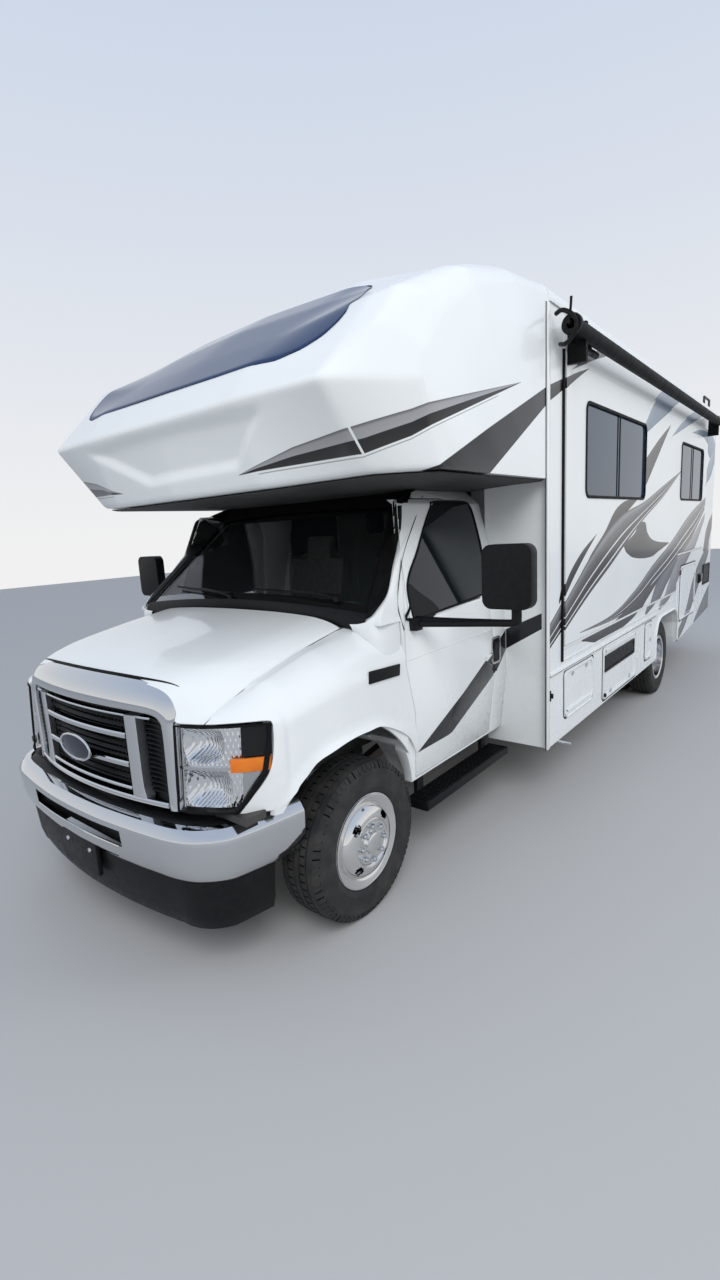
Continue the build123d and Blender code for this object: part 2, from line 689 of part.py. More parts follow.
def grille():
    """Chrome grille: header, legs, bars, uprights, side louvres and an oval badge plate."""
    grid = nose_bar(NOSE_HALF - 25, 0, GRILLE_LOW, GRILLE_LOW + 40)
    for z in GRILLE_BARS:
        grid += nose_bar(NOSE_HALF - 85, 12, z, z + 36)
    field = nose_bar(NOSE_HALF, 0, GRILLE_LOW, GRILLE_OPEN_TOP + 1)
    upright_field = nose_bar(NOSE_HALF, 6, GRILLE_LOW, GRILLE_OPEN_TOP + 1)
    for side in (-1, 1):
        leg = [(side * 540, GRILLE_LOW), (side * 620, GRILLE_LOW), (side * LEG_HALF, GRILLE_OPEN_TOP + 1),
               (side * 572, GRILLE_OPEN_TOP + 1)]
        grid += from_front(leg, -820, GRILLE_BACK) & field
        upright = block(side * 350, side * 420, -820, GRILLE_BACK, GRILLE_LOW, GRILLE_OPEN_TOP + 1)
        grid += upright & upright_field
        for i in range(LOUVRES):
            z = GRILLE_LOW + 62 + i * 44
            grid += block(side * 415, side * 560, nose_y(520) + 18, GRILLE_BACK, z, z + 8)
    badge = extrude(Ellipse(BADGE_HALF_W, BADGE_HALF_H), (BADGE_BACK - BADGE_FRONT) / 2, both=True)
    badge = Pos(0, st((BADGE_FRONT + BADGE_BACK) / 2), BADGE_Z) * (Rot(90, 0, 0) * badge)
    return grid + grille_header() + badge


def lamp_plan(grow, shift):
    """A headlamp from above, wrapped round the corner of the nose."""
    points = [(636 - grow, -716 - grow), Via((812 + 0.7 * grow, -640 - 0.7 * grow)),
              (930 + grow, -530 - grow),
              (952 + grow, -498), (952 + grow, -480 + grow), (636 - grow, -592 + grow)]
    return placed(points, lambda x, s: (x, s + shift))


def lamp_form(grow, z0, z1):
    """The lamp's leaning form: its foot stands further forward than its top."""
    return stacked([(z0, lamp_plan(grow, -LAMP_LEAN)), (z1, lamp_plan(grow, 0))])


def headlamps():
    lens = [(638, LAMP_LOW), (862, LAMP_LOW), Via((938, 880)), (952, LAMP_TOP), (638, LAMP_TOP)]
    return both(lamp_form(0, LAMP_LOW, LAMP_TOP) & from_front(lens, -800, -400))


def bumper_plan(inset):
    """The bumper from above, drawn in by the inset."""
    front = -FRONT_OVERHANG
    return both_halves([(935 - inset, BUMPER_REAR), (875 - inset, front + 220 + 0.3 * inset),
                        Via((800 - 0.8 * inset, front + 128 + 0.6 * inset)),
                        (640 - 0.4 * inset, front + 56 + inset), Via((0, front + inset))])


def front_bumper():
    """The chrome bumper: a shell creased below its top lip, with an air slot."""
    skin = BUMPER_SKIN
    outer = stacked([(BUMPER_LOW, bumper_plan(38)), (BUMPER_CREASE, bumper_plan(0)),
                     (BUMPER_TOP, bumper_plan(22))])
    inner = stacked([(BUMPER_LOW - 1, bumper_plan(38 + skin)), (BUMPER_CREASE, bumper_plan(skin)),
                     (BUMPER_TOP - skin, bumper_plan(14 + skin))])
    bumper = outer - inner - from_top(bumper_plan(BUMPER_LIP), BUMPER_CREASE, BUMPER_TOP + 10)
    bumper -= from_front([(-400, 632), (400, 632), (372, 560), (-372, 560)], -900, -700)
    for side in (-1, 1):
        stub = block(side * (RAIL_X - 26), side * (RAIL_X - 4), -900, RAIL_FRONT - SEAT_GAP, 530,
                     BUMPER_CREASE)
        bumper += stub & outer
    # The ends lean back over the wheel
    return bumper - from_side([(-452, BUMPER_LOW - 10), (-358, BUMPER_TOP + 10), (0, BUMPER_TOP + 10),
                               (0, BUMPER_LOW - 10)], -1200, 1200)


def cab_trim():
    """Black plastic: grille backing, bumper step pad, front valance, side steps."""
    half = NOSE_HALF - 40
    backing = block(-half, half, GRILLE_BACK + SEAT_GAP, GRILLE_BACK + BACKING_T, GRILLE_LOW + 10,
                    GRILLE_OPEN_TOP - 37)
    pad = from_top(bumper_plan(BUMPER_LIP + SEAT_GAP), BUMPER_TOP - 22, BUMPER_TOP - 2)
    pad -= from_top(bumper_plan(BUMPER_LIP + 65), BUMPER_TOP - 30, BUMPER_TOP + 10)
    pad -= block(-1200, 1200, -440, -300, 600, 800)
    top = BUMPER_LOW - SEAT_GAP
    valance = stacked([(VALANCE_LOW, bumper_plan(75)), (300, bumper_plan(60)), (top, bumper_plan(45))])
    valance -= stacked([(VALANCE_LOW - 1, bumper_plan(115)), (300, bumper_plan(100)),
                        (top + 1, bumper_plan(85))])
    valance -= block(-1200, 1200, -465, -300, 200, 600)
    pieces = [backing, pad, valance]
    for side in (-1, 1):
        step = block(side * 870, side * 1010, 470, 1420, 320, 370)
        step = fillet(step.edges().filter_by(Axis.Y), 12)
        for station in (560, 1300):
            step += block(side * 860, side * 885, station, station + 60, 340, CAB_SILL_Z - SEAT_GAP)
        pieces.append(step)
    return pieces


def cab_interior():
    """Dashboard with its steering wheel, and two seats."""
    back = FIREWALL + CAB_SKIN + SEAT_GAP
    dash = from_side([(back, 900), (back, 1310), Via((430, 1322)), (520, 1240), (540, 1080), (400, 900)],
                     -755, 755)
    column = strut((STEER_X, 500, 1120), (STEER_X, 690, 1200), 26)
    tilt = Plane(origin=(STEER_X, st(690), 1200), z_dir=(0, 190, 80))
    wheel = tilt * Torus(190, 14) + tilt * Box(380, 40, 16) + tilt * Cylinder(60, 30)
    pieces = [dash + column + wheel]
    for side in (-1, 1):
        cushion = block(side * 200, side * 720, 820, 1300, 790, 920)
        cushion = fillet(cushion.edges().filter_by(Axis.Y), 40)
        rest = from_side([(1215, 915), (1330, 925), (1424, 1560), Via((1385, 1598)), (1332, 1590)],
                         side * 210, side * 710)
        head = from_side([(1338, 1580), (1412, 1562), (1426, 1735), Via((1396, 1758)), (1364, 1748)],
                         side * 350, side * 570)
        base = block(side * 260, side * 660, 860, 1260, CAB_PAN_Z + SEAT_GAP, 800)
        pieces.append(cushion + base + rest + head)
    return pieces


def coach_floor():
    inner = COACH_HALF - WALL - SEAT_GAP
    return block(-inner, inner, COACH_FRONT + WALL + SEAT_GAP, COACH_REAR - WALL - SEAT_GAP,
                 FLOOR_TOP - FLOOR_T + SEAT_GAP, FLOOR_TOP)


def skirt(share):
    """A station at a share of the skirt between the front corner and the rear wheel opening."""
    return COACH_FRONT + share * (WHEELBASE - REAR_ARCH_AHEAD - COACH_FRONT)


# Lower doors: name, side, front, rear, bottom, top, hinge edge
HATCHES = [
    ("cargo_door_front", 1, skirt(0.097), skirt(0.310), 520, 830, "bottom"),
    ("cargo_door_mid", 1, skirt(0.393), skirt(0.736), 430, 840, "top"),
    ("service_door", 1, skirt(0.845), skirt(0.931), 490, 830, "front"),
    ("utility_door", 1, WHEELBASE + 635, WHEELBASE + 1460, 640, 1230, "front"),
    ("cargo_door_right", -1, skirt(0.097), skirt(0.370), 430, 840, "top"),
]
HATCH_T = 25.0
HINGE_R = 6.0
HINGE_IN = 2.0
LEAF_W = 34.0
HINGE_X = COACH_HALF + HINGE_R + SEAT_GAP

# Entry door on the right side
ENTRY_FRONT = 2750.0
ENTRY_REAR = 3450.0
ENTRY_LOW = 600.0
ENTRY_HIGH = 2540.0

# Windows: front, rear, bottom, top
SLIDE_WINDOWS = [(SLIDE_FRONT + 300, SLIDE_FRONT + 1770, 1910, 2500),
                 (SLIDE_STEP + 50, SLIDE_REAR - 220, 1917, 2480)]
RIGHT_WINDOWS = [(1780, 2500, 1600, 2300), (WHEELBASE - 720, WHEELBASE + 530, 1600, 2300),
                 (COACH_REAR - 1480, COACH_REAR - 630, 1900, 2300)]
ENTRY_WINDOW = (ENTRY_FRONT + 190, ENTRY_REAR - 190, 1750, 2300)


def slide_outline(grow):
    """The slide-out's outline on the wall, with its floor stepped up at the rear."""
    return [(SLIDE_FRONT - grow, SLIDE_LOW_Z - grow), (SLIDE_STEP + grow, SLIDE_LOW_Z - grow),
            (SLIDE_STEP + grow, SLIDE_HIGH_Z - grow), (SLIDE_REAR + grow, SLIDE_HIGH_Z - grow),
            (SLIDE_REAR + grow, SLIDE_TOP_Z + grow), (SLIDE_FRONT - grow, SLIDE_TOP_Z + grow)]


def wheel_well(grow):
    """The rear wheel opening in the skirt, grown by a distance and closed below."""
    front, rear = WHEELBASE - REAR_ARCH_AHEAD - grow, WHEELBASE + REAR_ARCH_BEHIND + grow
    top = REAR_ARCH_TOP + grow
    return [(front, REAR_ARCH_FOOT), (front, 640), (front + 60, 748), (front + 175, top), (rear - 175, top),
            (rear - 60, 748), (rear, 640), (rear, REAR_ARCH_FOOT)]


def wall_outline():
    """The side wall's outline, its skirt rising behind the rear wheels."""
    front, *top, rear = wheel_well(0)
    return [(COACH_FRONT, SKIRT_Z), (front[0], SKIRT_Z + 10), *top, (rear[0], SKIRT_Z + 25),
            (COACH_REAR, REAR_SKIRT_Z), (COACH_REAR, EAVE_Z), (COACH_FRONT, EAVE_Z)]


def wheel_houses():
    """Bent sheet liners over the rear wheels, seated on the side walls."""
    outer = COACH_HALF - WALL - SEAT_GAP
    liner = from_side(wheel_well(0), outer - WHEEL_HOUSE_W, outer)
    liner -= from_side(wheel_well(-WHEEL_HOUSE_T), outer - WHEEL_HOUSE_W - 1, outer + 1)
    return both(liner)


def through_wall(face, side):
    """A face or outline of stations and heights cut right through a side wall."""
    return from_side(face, side * (COACH_HALF - 2 * WALL), side * (COACH_HALF + 2 * WALL))


def wall_blank(side):
    wall = from_side(wall_outline(), side * (COACH_HALF - WALL), side * COACH_HALF)
    for name, hatch_side, s0, s1, z0, z1, hinge in HATCHES:
        if hatch_side == side:
            wall -= through_wall([(s0, z0), (s1, z0), (s1, z1), (s0, z1)], side)
    return wall


def left_wall():
    return wall_blank(1) - through_wall(slide_outline(0), 1)


def window_outline(row, gap):
    """A coach window's rounded outline, drawn in by the gap."""
    s0, s1, z0, z1 = row
    return rounded(s0 + gap, s1 - gap, z0 + gap, z1 - gap, WINDOW_CORNER)


def right_wall():
    wall = wall_blank(-1)
    wall -= through_wall([(ENTRY_FRONT, ENTRY_LOW), (ENTRY_REAR, ENTRY_LOW), (ENTRY_REAR, ENTRY_HIGH),
                          (ENTRY_FRONT, ENTRY_HIGH)], -1)
    for row in RIGHT_WINDOWS:
        wall -= through_wall(window_outline(row, 0), -1)
    return wall


def hatch(row):
    """A skirt or side door with its hinge barrel and leaf."""
    name, side, s0, s1, z0, z1, hinge = row
    door = from_side(rounded(s0 + PANEL_GAP, s1 - PANEL_GAP, z0 + PANEL_GAP, z1 - PANEL_GAP, 20),
                     side * (COACH_HALF - HATCH_T), side * COACH_HALF)
    x = side * HINGE_X
    leaf_x = side * (COACH_HALF - 2)
    if hinge == "front":
        barrel = post(x, s0 + HINGE_IN, z0 + 40, z1 - 40, HINGE_R)
        return door + barrel + block(leaf_x, x, s0 + HINGE_IN, s0 + LEAF_W, z0 + 40, z1 - 40)
    edge, inward = (z1, -1) if hinge == "top" else (z0, 1)
    line = edge + inward * HINGE_IN
    barrel = shaft(s0 + 40, s1 - 40, x, line, HINGE_R)
    return door + barrel + block(leaf_x, x, s0 + 40, s1 - 40, edge + inward * LEAF_W, line)


def entry_door():
    door = block(-COACH_HALF + WALL, -COACH_HALF, ENTRY_FRONT + PANEL_GAP, ENTRY_REAR - PANEL_GAP,
                 ENTRY_LOW + PANEL_GAP, ENTRY_HIGH - PANEL_GAP)
    door -= through_wall(window_outline(ENTRY_WINDOW, 0), -1)
    for z in (750, 1500, 2300):
        door += post(-HINGE_X, ENTRY_FRONT + HINGE_IN, z, z + 100, HINGE_R)
        door += block(-COACH_HALF + 2, -HINGE_X, ENTRY_FRONT + HINGE_IN, ENTRY_FRONT + LEAF_W, z, z + 100)
    return door


def entry_glass():
    return from_side(window_outline(ENTRY_WINDOW, SEAT_GAP), -COACH_HALF + 12, -COACH_HALF + 12 + GLASS_T)


def front_wall():
    """The wall beside and above the cab, with the passage between them."""
    inner = COACH_HALF - WALL - SEAT_GAP
    wall = block(-inner, inner, COACH_FRONT, COACH_FRONT + WALL, SKIRT_Z, 2005)
    wall -= block(-870, 870, 1400, 1500, 300, 2100)
    return wall


def rear_window(gap):
    return both_halves([(450 - gap, 1650 + gap), (450 - gap, 2150 - gap)])


def rear_wall():
    inner = COACH_HALF - WALL - SEAT_GAP
    wall = block(-inner, inner, COACH_REAR - WALL, COACH_REAR, REAR_SKIRT_Z, EAVE_Z)
    wall -= from_front(rear_window(0), COACH_REAR - 2 * WALL, COACH_REAR + WALL)
    for side in (-1, 1):
        wall -= block(side * (RAIL_X - RAIL_W - 6), side * (RAIL_X + 6),
                      COACH_REAR - 2 * WALL, COACH_REAR + WALL,
                      500, RAIL_HIGH + 6)
    return wall


def roof_z(x):
    """Height of the roof's surface at a distance from the middle."""
    flat = COACH_HALF - ROOF_CORNER
    if x <= flat:
        return CROWN_Z - ROOF_FALL * (x / flat) ** 2
    return CROWN_Z - ROOF_FALL - ROOF_CORNER + sqrt(ROOF_CORNER ** 2 - (x - flat) ** 2)


def coach_roof():
    """A shallow crowned roof with rounded edges and a drip rail along each side."""
    flat = COACH_HALF - ROOF_CORNER
    bend = flat + ROOF_CORNER * sqrt(0.5)
    seat = EAVE_Z + 0.5
    profile = both_halves([(COACH_HALF, seat), (COACH_HALF, roof_z(COACH_HALF)), Via((bend, roof_z(bend))),
                           (flat, roof_z(flat)), Via((0, CROWN_Z))])
    roof = from_front(profile, COACH_FRONT + 1, COACH_REAR)
    hollow = both_halves([(COACH_HALF - 50, seat - 1), (flat - 60, roof_z(flat) - ROOF_T)])
    roof -= from_front(hollow, COACH_FRONT + WALL, COACH_REAR - WALL)
    for side in (-1, 1):
        roof += block(side * (COACH_HALF - 5), side * (COACH_HALF + DRIP_RAIL), COACH_FRONT + 1, COACH_REAR,
                      EAVE_Z + 6, EAVE_Z + 22)
    return roof


# Cap sections from the middle outwards: half-width, then (station, height) of the underside's edge, the
# ridge, the brow, and three points up the nose
CAP_SECTIONS = [
    (0, (-160, 1975), (-270, 2325), (-170, 2462), (60, 2640), (330, 2840), (680, 3045)),
    (600, (-120, 1980), (-260, 2330), (-160, 2467), (60, 2630), (330, 2820), (690, 3035)),
    (1050, (45, 2003), (-221, 2337), (-60, 2500), (130, 2705), (490, 2880), (900, 3035)),
    (1150, (130, 2004), (-60, 2342), (30, 2560), (190, 2735), (540, 2895), (980, 3020)),
    (1220, (200, 2006), (60, 2345), (130, 2520), (260, 2700), (600, 2890), (1050, 2995)),
    (COACH_HALF, (260, 2010), (150, 2350), (185, 2454), (347, 2630), (600, 2787), (1000, 2912)),
]
CAP_SKIN = 40.0
CAP_PANEL_DEPTH = 15.0


def cap_form(inset, rear):
    """The over-cab cap as a ruled loft across the coach, drawn in by the inset."""
    faces = []
    rows = [(-x, *r) for x, *r in reversed(CAP_SECTIONS[1:])] + CAP_SECTIONS
    shrink = (COACH_HALF - inset) / COACH_HALF
    for x, under, ridge, brow, low, mid, high in rows:
        back_z = roof_z(abs(x))
        points = [(under[0] + inset, under[1] + inset), (ridge[0] + inset, ridge[1]),
                  (brow[0] + inset, brow[1] - inset * 0.5), (low[0] + inset * 0.7, low[1] - inset * 0.8),
                  (mid[0] + inset * 0.4, mid[1] - inset), (high[0] + inset * 0.2, high[1] - inset),
                  (rear, back_z - inset), (rear, under[1] + inset)]
        faces.append(Plane.YZ.offset(x * shrink) * side_face(points))
    return loft(faces, ruled=True)


def skylight_plan(gap):
    """The skylight from above: wide and bowed below, narrower at its top."""
    return both_halves([(750 - gap, 540 - gap), (820 - gap, 505 - gap), (961 - gap, -90),
                        (940 - gap, -124 + gap),
                        Via((0, -158 + gap))])


def overcab_cap():
    """The hollow cap over the cab, with its skylight cut and a shallow panel in its face."""
    cap = cap_form(0, COACH_FRONT - 0.5) - cap_form(CAP_SKIN, COACH_FRONT + 30)
    cap -= block(-800, 800, 820, 1500, 1900, 2100)
    cap -= from_front(cab_outline(-SEAT_GAP), FIREWALL, COACH_FRONT) - screen_cut(SEAT_GAP)
    cap -= from_top(skylight_plan(0), 2300, 3100)
    panel = from_front([(-740, 2292), (-215, 2045), (-140, 2078), (500, 2072), (762, 2300), (300, 2306),
                        (-300, 2306)], -400, 200)
    return cap - (panel & (cap_form(-5, COACH_FRONT) - cap_form(CAP_PANEL_DEPTH, COACH_FRONT)))


def skylight():
    pane = from_top(skylight_plan(SEAT_GAP), 2300, 3100)
    return pane & (cap_form(8, COACH_FRONT) - cap_form(8 + GLASS_T, COACH_FRONT))


def fixed_glass():
    """Windscreen, skylight and the coach's fixed windows."""
    panes = [windscreen(), skylight()]
    for row in RIGHT_WINDOWS:
        panes.append(from_side(window_outline(row, SEAT_GAP), -COACH_HALF + 8, -COACH_HALF + 8 + GLASS_T))
    panes.append(from_front(rear_window(SEAT_GAP), COACH_REAR - 8 - GLASS_T, COACH_REAR - 8))
    return panes


def slide_outer_wall():
    """The sliding room's outer wall with its lap flange and windows."""
    wall = from_side(slide_outline(-SLIDE_GAP), COACH_HALF - WALL + 10, COACH_HALF + 5)
    wall += from_side(slide_outline(FLANGE_LAP), COACH_HALF + SEAT_GAP, COACH_HALF + SEAT_GAP + FLANGE_T)
    for row in SLIDE_WINDOWS:
        wall -= through_wall(window_outline(row, 0), 1)
    return wall


# The sliding room's inner and outer ends along X
SLIDE_IN = COACH_HALF - SLIDE_DEPTH
SLIDE_OUT = COACH_HALF - WALL + 10 - SEAT_GAP


def slide_decks():
    """Roof, low floor and raised rear floor of the sliding room."""
    g = SLIDE_GAP
    return [
        block(SLIDE_IN, SLIDE_OUT, SLIDE_FRONT + g, SLIDE_REAR - g, SLIDE_TOP_Z - g - SLIDE_WALL,
              SLIDE_TOP_Z - g),
        block(SLIDE_IN, SLIDE_OUT, SLIDE_FRONT + g, SLIDE_STEP - g, SLIDE_LOW_Z + g,
              SLIDE_LOW_Z + g + SLIDE_WALL),
        block(SLIDE_IN, SLIDE_OUT, SLIDE_STEP - g - SLIDE_WALL, SLIDE_REAR - g, SLIDE_HIGH_Z + g,
              SLIDE_HIGH_Z + g + SLIDE_WALL),
    ]


def slide_ends():
    """Front end, riser under the raised floor and rear end of the sliding room."""
    g = SLIDE_GAP
    high = SLIDE_TOP_Z - g - SLIDE_WALL - SEAT_GAP
    low = SLIDE_LOW_Z + g + SLIDE_WALL + SEAT_GAP
    return [
        block(SLIDE_IN, SLIDE_OUT, SLIDE_FRONT + g, SLIDE_FRONT + g + SLIDE_WALL, low, high),
        block(SLIDE_IN, SLIDE_OUT, SLIDE_STEP - g - SLIDE_WALL, SLIDE_STEP - g, low,
              SLIDE_HIGH_Z + g - SEAT_GAP),
        block(SLIDE_IN, SLIDE_OUT, SLIDE_REAR - g - SLIDE_WALL, SLIDE_REAR - g,
              SLIDE_HIGH_Z + g + SLIDE_WALL + SEAT_GAP, high),
    ]


def slide_glass():
    return [from_side(window_outline(row, SEAT_GAP), COACH_HALF + 4, COACH_HALF + 4 + GLASS_T)
            for row in SLIDE_WINDOWS]


def slide_topper():
    """The rolled slide cover on its two wall brackets, with a drum cap at each end."""
    front, rear = SLIDE_FRONT - 220, SLIDE_REAR + 20
    x = COACH_HALF + 115
    roller = shaft(front, rear, x, TOPPER_Z, TOPPER_R)
    for station in (front, rear - 12):
        roller += shaft(station, station + 12, x, TOPPER_Z, TOPPER_R + 6)
    for station in (SLIDE_FRONT - FLANGE_LAP, SLIDE_REAR + FLANGE_LAP - 50):
        roller += block(COACH_HALF + FLANGE_T + 2 * SEAT_GAP, x + 10, station, station + 30,
                        TOPPER_Z - 150, TOPPER_Z + 60)
    return roller


def roof_units():
    """The air conditioner and two vents on the roof."""
    seat = CROWN_Z + SEAT_GAP
    unit = block(-350, 350, 3300, 4350, seat, CROWN_Z + AIR_CON_H)
    unit = fillet(unit.edges().filter_by(Axis.Z), 120)
    unit = fillet(unit.faces().sort_by(Axis.Z)[-1].edges(), 60)
    vents = []
    for station in (2000, WHEELBASE + 1130):
        vent = block(-200, 200, station, station + 400, seat, CROWN_Z + 80)
        vents.append(fillet(vent.edges().filter_by(Axis.Z), 30))
    return [unit, *vents]


def rear_ladder():
    """Two bent rails that hook over the roof, and their rungs."""
    out, top, hook = COACH_REAR + 90, CROWN_Z + 100, COACH_REAR - 250
    ladder = None
    for x in LADDER_RAILS:
        rail = bent_bar([(x, COACH_REAR + 0.5, 800), (x, out, 800), (x, out, top), (x, hook, top),
                         (x, hook, roof_z(x - LADDER_R) + SEAT_GAP)], LADDER_R)
        ladder = ladder + rail if ladder else rail
    for z in range(950, int(CROWN_Z) - 50, 300):
        ladder += rod(*LADDER_RAILS, out, z, 12)
    return ladder


def tail_lamps():
    lamp = block(COACH_HALF - 85, COACH_HALF - 25, COACH_REAR + SEAT_GAP, COACH_REAR + 30, 900, 1120)
    lamp = fillet(lamp.edges().filter_by(Axis.Y), 20)
    return both(lamp)


def patio_awning():
    """A rolled awning's case along the right side, with its folded arms."""
    inner = -COACH_HALF - SEAT_GAP
    case = block(inner, -COACH_HALF - 110, 1700, WHEELBASE + 1330, 2760, 2880)
    case = fillet(case.edges().filter_by(Axis.Y), 30)
    for station in (1720, WHEELBASE + 1270):
        case += block(inner, -COACH_HALF - 60, station, station + 45, 1200, 2765)
    return case


NODES = {
    "frame_rails": frame_rails,
    "frame_crossmembers": frame_crossmembers,
    "frame_outriggers": frame_outriggers,
    "hitch_receiver": hitch_receiver,
    "engine_block": engine_block,
    "driveline": driveline,
    "front_axle": front_axle,
    "rear_axle": rear_axle,
    "cab_shell": cab_shell,
    "cab_interior": cab_interior,
    "cab_trim": cab_trim,
    "fenders": fenders,
    "grille": grille,
    "headlamps": headlamps,
    "front_bumper": front_bumper,
    "coach_floor": coach_floor,
    "wheel_houses": wheel_houses,
    "left_wall": left_wall,
    "right_wall": right_wall,
    "front_wall": front_wall,
    "rear_wall": rear_wall,
    "coach_roof": coach_roof,
    "overcab_cap": overcab_cap,
    "fixed_glass": fixed_glass,
    "roof_units": roof_units,
    "rear_ladder": rear_ladder,
    "tail_lamps": tail_lamps,
    "patio_awning": patio_awning,
    "slide_outer_wall": slide_outer_wall,
    "slide_decks": slide_decks,
    "slide_ends": slide_ends,
    "slide_glass": slide_glass,
    "slide_topper": slide_topper,
    "hood": hood,
    "entry_door": entry_door,
    "entry_glass": entry_glass,
}
for row in HATCHES:
    NODES[row[0]] = lambda row=row: hatch(row)
for word, side in (("left", 1), ("right", -1)):
    NODES[f"cab_door_{word}"] = lambda side=side: cab_door(side)
    NODES[f"cab_glass_{word}"] = lambda side=side: cab_door_glass(side)
    NODES[f"mirror_{word}"] = lambda side=side: door_mirror(side)
    NODES[f"knuckle_{word}"] = lambda side=side: knuckle(side)
    NODES[f"front_tyre_{word}"] = lambda side=side: tyre(side * FRONT_TRACK_HALF, 0)
    NODES[f"front_wheel_{word}"] = lambda side=side: front_wheel(side)
    NODES[f"rear_tyres_{word}"] = lambda side=side: [tyre(side * REAR_INNER_X, WHEELBASE),
                                                     tyre(side * REAR_OUTER_X, WHEELBASE)]
    NODES[f"rear_wheels_{word}"] = lambda side=side: rear_wheels(side)

for node, make in NODES.items():
    made = make()
    pieces = made if isinstance(made, list) else [made]
    solids = [solid for piece in pieces for solid in piece.solids()]
    shape = solids[0] if len(solids) == 1 else Compound(children=solids)
    export_step(shape, f"parts/{node}.step")
    box = shape.bounding_box()
    print(f"{node:20s} solids {len(solids):2d} volume {sum(s.volume for s in solids) / 1e9:8.4f} m3"
          f"  z {box.min.Z:7.1f} to {box.max.Z:7.1f}")
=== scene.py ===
# %% [markdown]
# The motorhome is a cutaway van with a coach body behind it. Its sizes, axes and moving bodies come
# from a fixed frame of plain solids. This lesson dresses that frame: it keeps the flat panels, which are
# already true, and gives the curved panels, the wheels and the trim finer meshes of their own.

# %% Load the frame
import json
import bmesh
import bpy
from math import cos, hypot, pi, radians, sin, sqrt
from mathutils import Matrix, Vector
from mathutils.bvhtree import BVHTree


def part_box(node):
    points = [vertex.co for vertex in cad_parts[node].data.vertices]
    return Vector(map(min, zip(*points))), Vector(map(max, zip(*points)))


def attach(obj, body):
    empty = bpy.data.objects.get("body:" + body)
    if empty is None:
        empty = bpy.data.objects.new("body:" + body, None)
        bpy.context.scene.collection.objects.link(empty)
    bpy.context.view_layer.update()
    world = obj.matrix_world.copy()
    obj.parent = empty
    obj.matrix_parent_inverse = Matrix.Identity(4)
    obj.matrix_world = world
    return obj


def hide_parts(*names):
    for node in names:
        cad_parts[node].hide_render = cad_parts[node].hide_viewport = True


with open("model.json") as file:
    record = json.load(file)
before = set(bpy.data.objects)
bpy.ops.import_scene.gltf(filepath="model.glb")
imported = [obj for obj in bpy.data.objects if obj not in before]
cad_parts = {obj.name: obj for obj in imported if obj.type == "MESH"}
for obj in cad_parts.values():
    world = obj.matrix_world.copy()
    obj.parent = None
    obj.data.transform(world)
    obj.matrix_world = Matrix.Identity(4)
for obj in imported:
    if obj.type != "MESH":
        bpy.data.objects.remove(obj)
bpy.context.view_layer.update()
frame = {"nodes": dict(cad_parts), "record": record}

# %% [markdown]
# Places along the vehicle are told as distances behind the front axle, as a body builder does. The
# axle's place is read from the front wheel's node, so every station follows the frame.

# %% Stations and main sizes, in metres
tyre_low, tyre_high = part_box("front_tyre_left")
AXLE_Y = (tyre_low.y + tyre_high.y) / 2
TYRE_R = (tyre_high.z - tyre_low.z) / 2
COACH_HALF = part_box("right_wall")[0].x * -1
SIDES = (("left", 1), ("right", -1))


def st(station):
    """Y of a station, in metres behind the front axle."""
    return AXLE_Y + station


def at(x, station, z):
    """The point at a station, x to the left of the middle and z above the ground."""
    return Vector((x, st(station), z))


print("front axle y", round(AXLE_Y, 3), "tyre radius", round(TYRE_R, 3), "coach half", round(COACH_HALF, 3))

# %% [markdown]
# The photograph was taken with a wide lens, standing close to the left front corner and holding the
# camera slightly tipped. The same place, turn and lens make the render line up with it.

# %% Camera
CAMERA_AT = (2.585, st(-1.938), 1.764)
CAMERA_YAW, CAMERA_PITCH, CAMERA_ROLL = radians(39.297), radians(10.214), radians(3.213)
LENS_MM, SENSOR_MM = 16.62, 36.0


def photo_camera():
    ahead = Vector((-sin(CAMERA_YAW) * cos(CAMERA_PITCH), cos(CAMERA_YAW) * cos(CAMERA_PITCH),
                    -sin(CAMERA_PITCH)))
    level = Vector((cos(CAMERA_YAW), sin(CAMERA_YAW), 0))
    below = ahead.cross(level)
    right = cos(CAMERA_ROLL) * level + sin(CAMERA_ROLL) * below
    up = sin(CAMERA_ROLL) * level - cos(CAMERA_ROLL) * below
    data = bpy.data.cameras.new("photo_camera")
    data.sensor_fit = "VERTICAL"
    data.sensor_height = SENSOR_MM
    data.lens = LENS_MM
    data.clip_end = 100
    camera = bpy.data.objects.new("photo_camera", data)
    bpy.context.scene.collection.objects.link(camera)
    turn = Matrix((right, up, -ahead)).transposed().to_4x4()
    camera.matrix_world = Matrix.Translation(CAMERA_AT) @ turn
    bpy.context.scene.camera = camera
    return camera


camera = photo_camera()
print("camera at", [round(v, 3) for v in CAMERA_AT], "lens", LENS_MM)

# %% [markdown]
# Shader maths reads best as plain Python. One small class wraps a node socket and answers to the usual
# operators by adding Math nodes, so that a mask is written as an expression.


